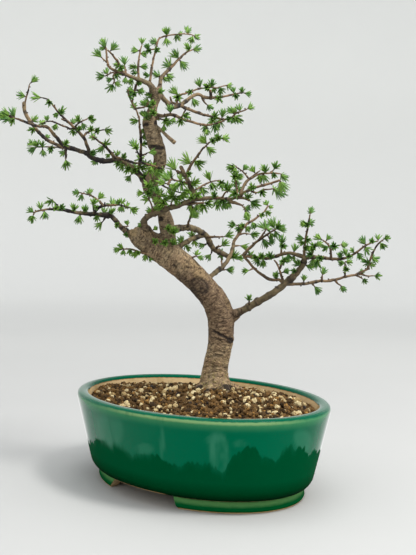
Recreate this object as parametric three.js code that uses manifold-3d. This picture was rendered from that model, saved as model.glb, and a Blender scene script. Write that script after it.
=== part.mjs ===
// A larch bonsai in an oval glazed pot. Millimetres, +Z up, feet on z = 0, the pot's long side along X.
//
// The pot, the drainage screens and the soil are set out from the pot's own sizes. The tree is set out on a
// drawing board that stands upright across the pot, square to a chosen line of sight: x runs right and y runs
// down from the board's top left corner, and the third number is how far behind the board a point lies, in mm.
import * as THREE from "three";
import { mergeVertices } from "three/addons/utils/BufferGeometryUtils.js";
import ManifoldModule from "manifold-3d";

const wasm = await ManifoldModule();
wasm.setup();

// ---------------------------------------------------------------- sizes

const GAP = 0.3; // clear space between pieces that touch
const PAST = 1; // how far a cutter runs past what it cuts
const SEED = 1871;

const POT = {
  length: 281,
  width: 215,
  segments: 36,
  underside: 10.5, // height of the bottom of the body above the ground
  floorTop: 19,
  holeRadius: 11,
  holeSides: 24,
  holeOffset: 55, // drainage holes on the long axis, this far from the middle
  gapAtGround: 46, // half width of the space between the feet
  gapAtBody: 39,
};

// Profiles are [inset from the rim's outer edge, height]. The body's end on its flat floor.
const FLOOR_INSET = 60;
const BODY_OUTSIDE = [
  [FLOOR_INSET, 10.5], [26, 10.5], [19.7, 12.8], [15.7, 18], [13.7, 26], [0, 84.6], [0.9, 87.9], [4.5, 89.4],
];
const BODY_INSIDE = [[10.6, 88.6], [14.5, 80], [22.5, 28], [29.5, 19], [FLOOR_INSET, 19]];
const FOOT = [[27.5, 12.6], [24.9, 6.6], [23.4, 3], [24.9, 0], [35.5, 0], [37.5, 12.6]];

const SCREEN = { size: 34, thickness: 1.2, openings: 4, bar: 1.8 };

const SOIL = {
  edge: 80.6, // height of the surface where it meets the pot's wall
  dome: 6.4, // rise of the surface to the middle
  mound: 4, // further rise round the trunk
  moundReach: 38,
  top: 120, // a height above every grain
  inset: 13, // where the dome starts, from the rim's outer edge
  grain: 10.4, // spacing of the grains
  stagger: 0.25, // how far every other row of grains is shifted, as a share of their spacing
  wander: 0.5, // how far a grain strays, as a share of their spacing
  margin: 4, // how far the field of grains runs past the pot
  relief: 3,
};

// The line of sight: the eye's distance, side shift and height, how far it looks down, how far the board
// leans, and how far the pot is turned away from it.
const SIGHT = { distance: 808, side: 6.7, height: 240, down: 2.4, lean: 1.0, turn: 42 };
const BOARD = { centreX: 208, centreY: 277.5 };

const TWIG = { step: 15, thick: 1.7, sides: 4, thinSides: 3 };

// Needles radiate from the core of their tuft, at angles above the plane across its spur, in radians.
const NEEDLE = {
  length: 10.5,
  shortest: 0.85, // shares of the length
  longest: 1.1,
  radius: 0.5,
  clear: 0.55, // least space to a neighbour
  level: 0.2,
  forward: 0.68,
  straight: 1.47,
};
const TUFT = {
  core: 1.5, // radius
  coreBack: -0.55,
  coreFront: 0.5,
  spacing: 9.3, // least distance between two tufts
  toFront: 0.6, // share of the tufts that lean towards the front
  lean: 0.45, // how far a tuft leans off the board, as a share of its distance from its twig
  mostLean: 6,
  lieOn: 3, // a tuft nearer to its twig than this is drawn on it,
  leanOn: 4.4, // and leans this far
  reach: 26, // neighbours further off than this are out of its way
  tries: 60, // turns that a tuft is given to find a place clear of its neighbours
  fullUntil: 0.7, // share of the tries at full size
  strictUntil: 0.5, // share of the tries that also keep clear of its own spray
  small: 0.65,
};

// ---------------------------------------------------------------- materials

const material = (name, color, roughness, metalness = 0) =>
  new THREE.MeshStandardMaterial({ name, color, roughness, metalness });

const FINISH = {
  glaze: () => material("green_glaze", 0x0a6a4c, 0.12),
  soil: () => material("gravel_soil", 0x7a5a38, 0.95),
  screen: () => material("black_mesh", 0x1c1c1c, 0.6),
  bark: () => material("bark", 0x7c6a54, 0.9),
  needles: () => material("needles", 0x4c8a3a, 0.55),
};

// ---------------------------------------------------------------- solids

/** Seeded random numbers from 0 to 1. */
function randomSource(seed) {
  let state = seed;
  return () => {
    state = (state + 0x6d2b79f5) | 0;
    let mixed = Math.imul(state ^ (state >>> 15), 1 | state);
    mixed = (mixed + Math.imul(mixed ^ (mixed >>> 7), 61 | mixed)) ^ mixed;
    return ((mixed ^ (mixed >>> 14)) >>> 0) / 4294967296;
  };
}

/** Six times the volume inside a closed skin: positive when its faces point outwards. */
function signedVolume(points, faces) {
  let sum = 0;
  for (const [a, b, c] of faces) {
    sum += points[a].dot(new THREE.Vector3().crossVectors(points[b], points[c]));
  }
  return sum;
}

/** A solid from its corner points and triangles, turned outwards if need be. */
function solidFrom(points, faces) {
  const outward = signedVolume(points, faces) > 0;
  const triVerts = new Uint32Array(faces.flatMap(([a, b, c]) => (outward ? [a, b, c] : [a, c, b])));
  const vertProperties = new Float32Array(points.flatMap((p) => p.toArray()));
  return new wasm.Manifold(new wasm.Mesh({ numProp: 3, vertProperties, triVerts }));
}

/** A solid from a closed three.js geometry. */
function solidOf(geometry) {
  const bare = geometry.clone();
  bare.deleteAttribute("normal");
  bare.deleteAttribute("uv");
  const merged = mergeVertices(bare, 1e-4);
  const triVerts = Uint32Array.from(merged.index.array);
  const vertProperties = Float32Array.from(merged.attributes.position.array);
  return new wasm.Manifold(new wasm.Mesh({ numProp: 3, vertProperties, triVerts }));
}

/** The three.js mesh of a solid. */
function meshOf(name, solid, finish) {
  const { vertProperties, triVerts } = solid.getMesh();
  const geometry = new THREE.BufferGeometry();
  geometry.setAttribute("position", new THREE.BufferAttribute(vertProperties, 3));
  geometry.setIndex(new THREE.BufferAttribute(triVerts, 1));
  geometry.computeVertexNormals();
  const mesh = new THREE.Mesh(geometry, finish);
  mesh.name = name;
  return mesh;
}

/** The largest of the bodies that a cut left. */
function largestBody(solid) {
  return solid.decompose().reduce((best, body) => (body.volume() > best.volume() ? body : best));
}

/** The triangles of a skin over rings of points, its two ends closed, or joined to each other for a loop. */
function ringFaces(rings, count, loop) {
  const faces = [];
  const strips = loop ? rings : rings - 1;
  for (let ring = 0; ring < strips; ring++) {
    const next = (ring + 1) % rings;
    for (let i = 0; i < count; i++) {
      const j = (i + 1) % count;
      faces.push([ring * count + i, ring * count + j, next * count + j]);
      faces.push([ring * count + i, next * count + j, next * count + i]);
    }
  }
  if (!loop) {
    const last = (rings - 1) * count;
    for (let i = 1; i < count - 1; i++) {
      faces.push([0, i + 1, i]);
      faces.push([last, last + i, last + i + 1]);
    }
  }
  return faces;
}

// ---------------------------------------------------------------- pot, screens and soil

/** A solid swept round the pot's oval from a profile of [inset, height]. */
function ovalSweep(profile, { loop = false, grow = 0 } = {}) {
  const points = [];
  for (const [inset, height] of profile) {
    for (let i = 0; i < POT.segments; i++) {
      const angle = (i / POT.segments) * 2 * Math.PI;
      const alongX = POT.length / 2 - inset + grow;
      const alongY = POT.width / 2 - inset + grow;
      points.push(new THREE.Vector3(alongX * Math.cos(angle), alongY * Math.sin(angle), height));
    }
  }
  return solidFrom(points, ringFaces(profile.length, POT.segments, loop));
}

/** A straight prism along Y from an outline in X and Z. */
function prismAlongY(outline, length) {
  const shape = new THREE.Shape(outline.map(([x, z]) => new THREE.Vector2(x, z)));
  const geometry = new THREE.ExtrudeGeometry(shape, { depth: length, bevelEnabled: false });
  return solidOf(geometry.translate(0, 0, -length / 2).rotateX(Math.PI / 2));
}

/** The pot: an oval bowl on two long feet, with a space between them on each long side and two drain holes. */
function makePot() {
  const bowl = ovalSweep([...BODY_OUTSIDE, ...BODY_INSIDE]);
  const below = -PAST;
  const above = FOOT[0][1] + PAST;
  const slope = (POT.gapAtGround - POT.gapAtBody) / POT.underside;
  const low = POT.gapAtGround - slope * below;
  const high = POT.gapAtGround - slope * above;
  const space = prismAlongY([[-low, below], [low, below], [high, above], [-high, above]], POT.width + 2 * PAST);
  let pot = bowl.add(ovalSweep(FOOT, { loop: true }).subtract(space));
  for (const side of [-1, 1]) {
    const drill = new THREE.CylinderGeometry(POT.holeRadius, POT.holeRadius, 3 * POT.floorTop, POT.holeSides);
    pot = pot.subtract(solidOf(drill.rotateX(Math.PI / 2).translate(side * POT.holeOffset, 0, POT.floorTop)));
  }
  return pot;
}

/** A square plastic screen with a grid of square openings, which lies over one drain hole. */
function makeScreen(side) {
  const { size, thickness, openings, bar } = SCREEN;
  const pitch = (size - bar) / openings;
  let screen = solidOf(new THREE.BoxGeometry(size, size, thickness));
  for (let row = 0; row < openings; row++) {
    for (let column = 0; column < openings; column++) {
      const punch = new THREE.BoxGeometry(pitch - bar, pitch - bar, 2 * thickness);
      const [x, y] = [column, row].map((index) => (index - (openings - 1) / 2) * pitch);
      screen = screen.subtract(solidOf(punch.translate(x, y, 0)));
    }
  }
  return screen.translate(side * POT.holeOffset, 0, POT.floorTop + GAP + thickness / 2);
}

/** Height of the soil's surface, without its grains. */
function soilHeight(x, y, trunk) {
  const across = (x / (POT.length / 2 - SOIL.inset)) ** 2 + (y / (POT.width / 2 - SOIL.inset)) ** 2;
  const fromTrunk = (x - trunk.x) ** 2 + (y - trunk.y) ** 2;
  return SOIL.edge + SOIL.dome * Math.max(0, 1 - across)
    + SOIL.mound * Math.exp(-fromTrunk / (2 * SOIL.moundReach ** 2));
}

/** A slab whose top is a field of angular grains: a grid with each point moved and raised by chance. */
function grainSlab(trunk) {
  const chance = randomSource(SEED + 1);
  const columns = Math.ceil((POT.length + 2 * SOIL.margin) / SOIL.grain);
  const rows = Math.ceil((POT.width + 2 * SOIL.margin) / SOIL.grain);
  const points = [];
  for (let layer = 0; layer < 2; layer++) {
    for (let row = 0; row <= rows; row++) {
      for (let column = 0; column <= columns; column++) {
        const stagger = row % 2 ? SOIL.stagger : -SOIL.stagger;
        const wander = layer ? SOIL.wander * SOIL.grain : 0;
        const x = (column - columns / 2 + stagger) * SOIL.grain + wander * (chance() - 0.5);
        const y = (row - rows / 2) * SOIL.grain + wander * (chance() - 0.5);
        const z = layer ? soilHeight(x, y, trunk) + SOIL.relief * (chance() - 0.5) : 0;
        points.push(new THREE.Vector3(x, y, z));
      }
    }
  }
  const at = (layer, row, column) => (layer * (rows + 1) + row) * (columns + 1) + column;
  const faces = [];
  const quad = (a, b, c, d) => faces.push([a, b, c], [a, c, d]);
  for (let row = 0; row < rows; row++) {
    for (let column = 0; column < columns; column++) {
      quad(at(1, row, column), at(1, row, column + 1), at(1, row + 1, column + 1), at(1, row + 1, column));
      quad(at(0, row, column), at(0, row + 1, column), at(0, row + 1, column + 1), at(0, row, column + 1));
    }
  }
  for (let column = 0; column < columns; column++) {
    quad(at(0, 0, column), at(0, 0, column + 1), at(1, 0, column + 1), at(1, 0, column));
    quad(at(0, rows, column + 1), at(0, rows, column), at(1, rows, column), at(1, rows, column + 1));
  }
  for (let row = 0; row < rows; row++) {
    quad(at(0, row + 1, 0), at(0, row, 0), at(1, row, 0), at(1, row + 1, 0));
    quad(at(0, row, columns), at(0, row + 1, columns), at(1, row + 1, columns), at(1, row, columns));
  }
  return solidFrom(points, faces);
}

/** The soil: it fills the bowl, stands clear over the screens, and has a hole for the trunk and its roots. */
function makeSoil(trunkHole, trunk) {
  const [corner, ...wall] = BODY_INSIDE.slice(1, -1).reverse();
  const bottom = POT.floorTop + GAP;
  const outline = [[FLOOR_INSET, bottom], [corner[0], bottom], ...wall, [wall[wall.length - 1][0], SOIL.top]];
  const filling = ovalSweep(outline, { grow: -GAP });
  let soil = filling.intersect(grainSlab(trunk));
  for (const side of [-1, 1]) {
    const width = SCREEN.size + 2 * GAP;
    const pocket = new THREE.BoxGeometry(width, width, 2 * (SCREEN.thickness + 2 * GAP));
    soil = soil.subtract(solidOf(pocket.translate(side * POT.holeOffset, 0, POT.floorTop)));
  }
  return largestBody(soil.subtract(trunkHole));
}

// ---------------------------------------------------------------- drawing board

const radians = THREE.MathUtils.degToRad;

/** A point on the drawing board as a point beside the pot. */
const fromBoard = (() => {
  const turn = new THREE.Matrix4().makeRotationZ(radians(SIGHT.turn));
  const eye = new THREE.Vector3(SIGHT.side, -SIGHT.distance, SIGHT.height);
  const ahead = new THREE.Vector3(0, Math.cos(radians(SIGHT.down)), -Math.sin(radians(SIGHT.down)));
  const level = new THREE.Vector3(1, 0, 0);
  const upright = new THREE.Vector3().crossVectors(level, ahead);
  const right = level.clone().applyAxisAngle(ahead, -radians(SIGHT.lean));
  const up = upright.clone().applyAxisAngle(ahead, -radians(SIGHT.lean));
  return (point) => new THREE.Vector3()
    .addScaledVector(right, point.x - BOARD.centreX)
    .addScaledVector(up, BOARD.centreY - point.y)
    .addScaledVector(ahead, SIGHT.distance)
    .multiplyScalar(1 + point.z / SIGHT.distance)
    .add(eye)
    .applyMatrix4(turn);
})();

// ---------------------------------------------------------------- tree: what is drawn

// Each stem is { width: [at its foot, at its tip], path: [x, y, ...], back: how far behind the board its tip
// lies }. It grows out of the nearest stem before it. Tufts are [x, y, ...], each on the nearest stem.

const TRUNK = {
  // x, y, behind the board, width
  line: [
    [214, 414, 24, 26], [215, 402, 24, 33], [215, 392, 24, 35], [215, 385, 24, 31.5], [215, 372, 24, 26.5],
    [217, 360, 23, 25], [219, 350, 22, 24.5], [220.3, 340, 21, 25.5], [221, 328, 20, 26.5], [219.5, 314, 18, 28],
    [215, 301, 16, 29.5], [207, 290, 14, 27.5], [198, 280, 12, 26], [187, 270, 10, 26.5], [175, 260, 8, 27],
    [163, 250.5, 6, 27], [151, 242, 5, 23], [141, 236, 4, 17], [132, 231.3, 3.5, 11.5],
  ],
  leader: [
    [178, 258, 8, 17], [171, 250, 7, 17], [168, 238, 5, 16], [167, 228, 3, 15.5], [165, 218, 1, 14],
    [162, 208, -1, 11.5], [157, 200, -3, 9.5], [155, 192, -4, 9.5], [152, 183, -5, 12], [153, 175, -6, 14],
    [158, 168, -7, 13], [160, 160, -8, 13], [159, 152, -9, 14], [156, 145, -9.5, 16], [154, 138, -10, 16],
    [151, 130, -10.5, 14], [150, 122, -11, 15], [152, 112, -11.5, 10.5], [154, 104, -12, 8.5],
    [156, 95, -12, 11.5], [155, 88, -12, 8.5],
  ],
  roots: [
    [[211, 383, 20, 15], [203, 387, 18, 11], [195, 391, 17, 7.5], [187, 398, 16, 4]],
    [[221, 383, 24, 14], [230, 387, 26, 11], [240, 390.5, 27, 7.5], [250, 397, 28, 4]],
    [[213, 384, 17, 15], [210, 390, 10, 10], [207, 398, 4, 5]],
    [[220, 384, 17, 15], [225, 390, 9, 10], [229, 398, 3, 5]],
    [[211, 381, 30, 14], [206, 384, 39, 9.5], [202, 390, 48, 5]],
    [[220, 381, 31, 14], [226, 383, 40, 9.5], [231, 389, 50, 5]],
  ],
  stubs: [
    [[153, 126, -11, 6], [158, 127.5, -12, 3.6], [167, 136, -15, 3.6], [175, 143, -18, 4.4]],
    [[224, 339, 20, 8], [231, 339, 19, 7], [234, 339, 18.5, 4.5]],
  ],
  stems: [
    { width: [3.4, 1.6], back: -9, path: [148, 251, 143, 253, 135, 251, 125, 250] },
    { width: [3, 1.8], back: 3, path: [188, 262, 193, 257, 196, 256] },
    { width: [3, 1.8], back: -17, path: [153, 119, 160, 119, 164, 120] },
  ],
  tufts: [
    121, 246, 117, 251, 125, 256, 130, 251, 135, 256, 146, 257, 152, 261, 197, 253, 201, 258, 166, 121, 164, 129,
    155, 242, 165, 243, 172, 243, 172, 232,
  ],
};

const SPRAYS = {
  spray_left_limb: {
    stems: [
      { width: [8.5, 4.2], back: 36, path: [
        152, 181, 144, 178, 137, 172, 131, 168, 125, 163, 117, 160, 110, 160, 105, 161, 98, 159, 92, 157, 80, 151,
        72, 149, 65, 146] },
      { width: [4, 1.8], back: 6, path: [
        90, 156, 88, 147, 85, 140, 83, 135, 77, 130, 73, 125, 69, 121, 62, 113, 57, 109, 53, 105, 46, 99, 42, 98] },
      { width: [2.6, 1.2], back: 6, path: [75, 126, 81, 123, 88, 118] },
      { width: [2.8, 1.4], back: 40, path: [84, 135, 88, 132, 93, 132, 98, 131, 104, 130] },
      { width: [3, 1.6], back: -6, path: [113, 156, 109, 150, 104, 145, 100, 142, 96, 138, 92, 136] },
      { width: [2.8, 1.6], back: 36, path: [71, 129, 65, 127, 60, 125, 56, 123, 50, 121, 45, 122] },
      { width: [3.6, 2], back: 20, path: [64, 145, 55, 138, 50, 131, 46, 127, 40, 127] },
      { width: [3.6, 2.6], back: 58, path: [
        64, 146, 55, 143, 50, 140, 45, 137, 41, 131, 37, 126, 33, 123, 29, 118, 25, 112, 24, 107, 24, 101] },
      { width: [2.2, 1.4], back: 52, path: [25, 103, 26, 99, 28, 91, 30, 84] },
      { width: [2.4, 1.4], back: 34, path: [36, 126, 30, 124, 22, 121, 15, 119, 8, 117, 3, 115] },
      { width: [2.4, 1.2], back: 72, path: [67, 148, 60, 148, 52, 147, 44, 146, 37, 147] },
      { width: [2.4, 1.4], back: 26, path: [65, 147, 64, 154, 66, 160] },
      { width: [2.4, 1.4], back: 8, path: [133, 170, 131, 175] },
      { width: [2.6, 1.4], back: -30, path: [131, 168, 133, 162, 142, 162, 150, 165, 163, 169] },
      { width: [2.6, 1.4], back: -30, path: [143, 178, 150, 181, 158, 183, 165, 186, 172, 190, 182, 192] },
      { width: [3, 1.4], back: -32, path: [
        137, 172, 140, 157, 141, 150, 141, 143, 140, 135, 139, 128, 138, 120, 136, 113, 131, 103, 128, 95] },
      { width: [2.2, 1.2], back: -44, path: [135, 109, 141, 108, 146, 106, 149, 102] },
      { width: [2.2, 1.2], back: -22, path: [131, 102, 133, 95, 135, 90, 136, 84] },
      { width: [2, 1.4], back: -18, path: [141, 148, 145, 152, 149, 152] },
    ],
    tufts: [
      117, 153, 124, 156, 118, 165, 126, 170, 128, 179, 140, 158, 145, 168, 150, 170, 155, 172, 163, 171, 91, 151,
      72, 133, 72, 120, 79, 119, 62, 109, 56, 116, 49, 103, 34, 97, 92, 116, 93, 123, 83, 127, 88, 127, 97, 127,
      107, 131, 101, 149, 107, 143, 91, 136, 108, 157, 47, 117, 55, 119, 55, 128, 40, 122, 36, 121, 20, 95,
      33, 98, 31, 79, 14, 113, 12, 122, 5, 118, 1, 110, 32, 130, 48, 138, 66, 142, 30, 147, 36, 143, 42, 142,
      43, 153, 51, 150, 61, 154, 66, 165, 96, 163, 130, 91, 127, 99, 135, 106, 134, 121, 133, 143, 144, 133,
      147, 139, 150, 152, 143, 103, 149, 96, 148, 112, 145, 117, 153, 104, 131, 83, 138, 81, 141, 90, 184, 192,
    ],
  },
  spray_left_low: {
    stems: [
      { width: [8, 5.6], back: -8, path: [132, 233, 126, 232, 122, 230, 116, 225, 112, 219, 109, 216, 105, 215.5] },
      { width: [5.6, 1.5], back: -52, path: [
        108, 215.5, 95, 214, 85, 213, 75, 212, 65, 210.5, 60, 209, 55, 208.5, 45, 210, 35, 212] },
      { width: [2.2, 1.2], back: -34, path: [60, 209, 56, 203, 52, 200] },
      { width: [2.8, 1.4], back: -40, path: [
        93, 213, 97, 210, 101, 207, 105, 206, 110, 206, 115, 206, 120, 205, 125, 206, 130, 207.5] },
      { width: [2.4, 1.4], back: 4, path: [104, 206, 100, 202, 97, 199, 92, 196, 87, 195, 80, 192.5] },
      { width: [2.6, 1.6], back: -6, path: [104, 216, 103, 221] },
    ],
    tufts: [
      30, 210, 31, 218, 39, 206, 45, 216, 53, 213, 63, 205, 74, 207, 84, 207, 79, 220, 97, 219, 99, 226, 102, 211,
      49, 199, 76, 193, 82, 198, 90, 191, 93, 201, 101, 196, 96, 206, 112, 201, 120, 201, 126, 203, 134, 210,
      122, 210, 111, 211, 126, 224, 119, 221, 41, 203,
    ],
  },
  spray_front: {
    stems: [
      { width: [8, 3.4], back: -64, path: [
        142, 235, 145, 226, 144, 221, 147, 218, 153, 214.5, 160, 212, 168, 208, 175, 206, 182, 204, 190, 200.5,
        198, 201, 205, 199, 212, 198, 220, 198, 229, 198, 237, 198, 245, 198.5, 250, 201] },
      { width: [3, 2], back: -34, path: [185, 204, 194, 205, 203, 204] },
      { width: [2.2, 1.3], back: -26, path: [153, 214.5, 152, 206, 149, 198, 148, 188] },
      { width: [2.2, 1.3], back: -34, path: [162, 211, 164, 203, 158, 195] },
      { width: [2.2, 1.3], back: -28, path: [171, 207, 171, 201, 170, 197] },
      { width: [4.8, 3.4], back: -20, path: [193, 199, 193, 195, 190, 188, 187, 180, 184, 174, 180, 166] },
      { width: [2.4, 1.4], back: -42, path: [187, 175, 190, 168, 195, 160, 201, 151, 204, 148, 208, 144, 214, 140] },
      { width: [1.6, 1.2], back: -46, path: [211, 142, 218, 141, 224, 139] },
      { width: [2.4, 1.4], back: -36, path: [188, 183, 181, 183, 175, 181, 170, 181, 168, 184] },
      { width: [2.2, 1.3], back: -12, path: [184, 174, 178, 174, 173, 170] },
      { width: [2.4, 1.3], back: -8, path: [191, 191, 196, 190, 200, 187, 206, 184, 211, 181, 217, 180, 222, 182] },
      { width: [2, 1.4], back: -58, path: [222, 198, 223, 195, 226, 192, 231, 191.5] },
      { width: [2.2, 1.5], back: -72, path: [229, 199, 232, 203, 237, 203.5, 241, 205, 244, 208] },
      { width: [2, 1.3], back: -42, path: [238, 197, 237, 190, 236, 181, 235, 177] },
      { width: [3, 1.6], back: -36, path: [
        237, 197, 238, 192, 243, 187, 247, 182, 250, 178, 254, 177, 262, 174, 268, 173, 274, 173] },
      { width: [2.2, 1.3], back: -60, path: [249, 178, 244, 172, 240, 169, 234, 165] },
      { width: [1.8, 1.3], back: -30, path: [272, 173, 275, 169] },
      { width: [3.2, 2.4], back: -92, path: [240, 198, 243, 193, 250, 191, 257, 188, 260, 186, 267, 185, 273, 183,
        280, 180] },
      { width: [2.2, 1.3], back: -72, path: [250, 191, 255, 195, 260, 193, 266, 190, 272, 189, 278, 191] },
    ],
    tufts: [
      143, 226, 155, 209, 162, 203, 148, 185, 150, 192, 156, 188, 158, 194, 145, 199, 139, 194, 165, 200, 170, 195,
      186, 160, 199, 164, 191, 173, 171, 166, 166, 179, 202, 139, 211, 151, 220, 144, 226, 138, 178, 184, 183, 189,
      186, 194, 180, 198, 207, 176, 196, 183, 203, 191, 212, 186, 217, 188, 223, 184, 203, 208, 213, 203, 220, 204,
      208, 210, 216, 194, 227, 205, 247, 211, 233, 193, 235, 175, 236, 184, 228, 187, 254, 203, 246, 168, 252, 168,
      264, 169, 266, 178, 260, 182, 276, 166, 282, 176, 230, 168, 238, 175, 282, 193, 262, 197, 252, 195, 215, 138,
    ],
  },
  spray_middle: {
    stems: [
      { width: [6, 2.6], back: 46, path: [
        168, 231, 175, 229, 180, 228, 186, 228, 191, 228, 196, 230, 201, 232, 206, 236, 209, 242, 212, 247, 216, 250,
        221, 252, 226, 255, 231, 257] },
      { width: [3, 3.6], back: 8, path: [206, 237, 198, 237, 192, 240, 185, 243, 178, 247, 173, 251] },
      { width: [2.2, 1.4], back: 8, path: [206, 236, 213, 237, 220, 236, 224, 236] },
      { width: [2, 1.5], back: 22, path: [216, 250, 217, 246, 221, 245] },
      { width: [2, 1.5], back: 46, path: [212, 248, 211, 253] },
      { width: [2.4, 1.8], back: -8, path: [187, 228, 190, 222, 191, 217] },
    ],
    tufts: [
      192, 234, 180, 240, 195, 244, 201, 246, 187, 248, 229, 236, 225, 244, 208, 258, 221, 257, 235, 255, 233, 262,
      192, 213, 188, 209, 196, 213,
    ],
  },
  spray_back: {
    stems: [
      { width: [5, 1.5], back: 74, path: [
        205, 279, 212, 275, 216, 271, 220, 266, 224, 263, 228, 259, 230, 255, 231, 250, 233, 245, 235, 240, 238, 235,
        241, 231, 246, 225, 251, 221, 259, 216, 263, 213, 266, 209, 268, 206] },
      { width: [2.2, 1.4], back: 44, path: [238, 235, 246, 233, 250, 234] },
      { width: [2, 1.4], back: 48, path: [233, 246, 240, 246] },
      { width: [2, 1.4], back: 66, path: [241, 231, 239, 226, 236, 225] },
      { width: [2, 1.6], back: 40, path: [219, 267, 224, 269] },
    ],
    tufts: [
      266, 203, 272, 207, 269, 213, 261, 218, 248, 218, 254, 226, 243, 223, 233, 225, 248, 230, 255, 236, 246, 247,
      229, 270,
    ],
  },
  spray_right_limb: {
    stems: [
      { width: [11, 6.4], back: -6, path: [
        222, 318, 232, 315, 240, 311, 250, 306, 260, 301, 270, 295, 278, 289, 285, 284, 290, 279, 296, 273, 301, 266,
        304, 260, 305, 256] },
      { width: [3, 2.4], back: 14, path: [
        283, 283, 276, 279, 272, 280, 266, 278, 260, 274, 255, 269, 251, 264, 247, 259, 243, 256] },
      { width: [2.6, 1.6], back: 20, path: [287, 282, 282, 275, 279, 268, 277, 263, 273, 261] },
      { width: [4, 2.6], back: 14, path: [
        304, 257, 299, 256, 294, 254, 289, 252.5, 282, 255, 275, 257, 268, 257, 260, 258, 250, 258, 243, 256] },
      { width: [3.6, 1.6], back: 2, path: [243, 256, 249, 249, 256, 242, 262, 236, 268, 232, 274, 230] },
      { width: [3.4, 1.5], back: -26, path: [304, 257, 304, 250, 304, 245, 306, 235, 308, 224, 308, 219, 310, 214] },
      { width: [4.4, 1.7], back: -48, path: [
        305, 258, 312, 256, 318, 257, 325, 257, 335, 259, 340, 258, 346, 257, 354, 253, 362, 248, 370, 244,
        378, 242] },
      { width: [2.2, 1.3], back: -36, path: [328, 258, 332, 255, 330, 250, 328, 245, 323, 240] },
      { width: [1.8, 1.3], back: -20, path: [331, 252, 335, 247, 340, 245] },
      { width: [2, 1.3], back: -4, path: [313, 256, 313, 250, 316, 245] },
      { width: [3.8, 2.6], back: 42, path: [
        286, 284, 292, 283, 305, 283, 312, 282, 320, 281, 328, 280, 335, 280, 342, 278, 348, 276, 355, 275,
        364, 271, 371, 268] },
      { width: [2.2, 1.4], back: 12, path: [345, 277, 345, 270, 345, 264] },
      { width: [2.2, 1.4], back: 44, path: [357, 275, 360, 277, 363, 280] },
      { width: [2.2, 1.4], back: 52, path: [364, 272, 371, 275, 375, 276] },
      { width: [2.4, 1.4], back: 24, path: [368, 269, 369, 262, 373, 252, 378, 243, 383, 239] },
      { width: [2.4, 1.8], back: -2, path: [249, 306, 249, 301] },
      { width: [2, 1.4], back: -4, path: [281, 255, 281, 249, 282, 243] },
      { width: [2, 1.4], back: 4, path: [320, 281, 322, 276, 324, 273] },
      { width: [2, 1.4], back: 22, path: [335, 280, 337, 284, 341, 287] },
      { width: [2, 1.6], back: 16, path: [310, 282, 314, 286, 318, 289] },
    ],
    tufts: [
      247, 297, 276, 274, 286, 271, 294, 269, 304, 277, 257, 264, 264, 266, 245, 271, 250, 254, 284, 262, 290, 262,
      272, 264, 272, 252, 262, 253, 298, 262, 282, 239, 311, 211, 302, 222, 312, 222, 300, 238, 308, 243, 294, 248,
      344, 252, 352, 260, 341, 264, 362, 240, 362, 256, 372, 250, 374, 238, 316, 238, 328, 237, 334, 245, 344, 245,
      309, 248, 318, 249, 325, 250, 311, 264, 319, 264, 319, 291, 325, 271, 342, 289, 346, 262, 366, 282, 379, 276,
      366, 259, 376, 259, 386, 237, 384, 248, 378, 236, 264, 226, 271, 223, 277, 228, 268, 243, 281, 237, 350, 270,
    ],
  },
  spray_crown_left: {
    stems: [
      { width: [7, 3], back: -50, path: [154, 93, 152, 87.5, 147, 83, 141, 80, 135, 78, 128, 75.5, 121, 73, 115, 71] },
      { width: [2.4, 1.4], back: -30, path: [126, 75, 126, 66, 124, 61] },
      { width: [2.4, 1.3], back: -66, path: [121, 73, 122, 66, 118, 60, 113, 54, 105, 50] },
      { width: [2.6, 1.6], back: -40, path: [115, 71, 107, 65, 107, 60, 106, 55] },
      { width: [2.4, 1.4], back: -38, path: [116, 71, 112, 77, 114, 82, 113, 85] },
      { width: [2.8, 1.4], back: -12, path: [138, 79, 137, 73, 138, 68, 139, 60, 140, 53, 142, 45] },
      { width: [3, 1.3], back: 6, path: [
        149, 84, 151, 72, 153, 62, 155, 54, 156, 48, 157, 44, 160, 37, 165, 37, 170, 36, 175, 35.5, 184, 35,
        190, 34.5, 194, 36] },
    ],
    tufts: [
      123, 58, 103, 43, 97, 52, 113, 47, 106, 71, 117, 66, 102, 76, 112, 89, 119, 85, 118, 78, 132, 67, 125, 81,
      131, 83, 138, 84, 143, 41, 147, 46, 145, 54, 134, 51, 144, 67, 145, 75, 154, 40, 149, 50, 160, 50, 166, 30,
      166, 44, 177, 39, 180, 31, 188, 29, 191, 40, 197, 37,
    ],
  },
  spray_crown_top: {
    stems: [
      { width: [4, 1.4], back: 34, path: [
        157, 93, 160, 86.5, 160.5, 80, 163, 76, 168, 72, 173, 67, 176, 64, 179, 61, 183, 56, 187, 52, 194, 50] },
    ],
    tufts: [188, 48, 197, 49, 177, 54, 184, 66, 167, 63, 171, 77, 158, 74],
  },
  spray_crown_right: {
    stems: [
      { width: [6, 1.8], back: 30, path: [
        154, 93, 157, 92, 162, 97, 168, 103, 173, 107, 180, 105, 187, 101, 192, 97, 198, 94, 203, 97, 210, 98,
        215, 97, 222, 96, 230, 95, 236, 94, 243, 93] },
      { width: [2.2, 1.6], back: 4, path: [213, 98, 212, 95, 210, 90] },
      { width: [2.2, 1.6], back: 26, path: [202, 98, 203, 101, 207, 104] },
      { width: [2.6, 1.4], back: 56, path: [
        177, 105, 177, 97, 184, 94, 190, 92, 195, 89, 205, 88, 215, 87, 226, 85.5] },
      { width: [3.4, 1.5], back: -38, path: [
        180, 105, 186, 106, 190, 108, 196, 110, 203, 112, 208, 114, 214, 114, 220, 114, 230, 117, 236, 114, 241, 111,
        247, 109] },
    ],
    tufts: [
      248, 94, 243, 88, 236, 98, 219, 92, 220, 100, 226, 92, 206, 88, 211, 84, 215, 89, 209, 106, 195, 103, 198, 83,
      230, 87, 189, 91, 173, 91, 177, 96, 213, 121, 219, 119, 224, 109, 230, 110, 238, 106, 251, 108, 238, 119,
      205, 108,
    ],
  },
  spray_crown_low: {
    stems: [
      { width: [4, 1.5], back: -58, path: [
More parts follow.
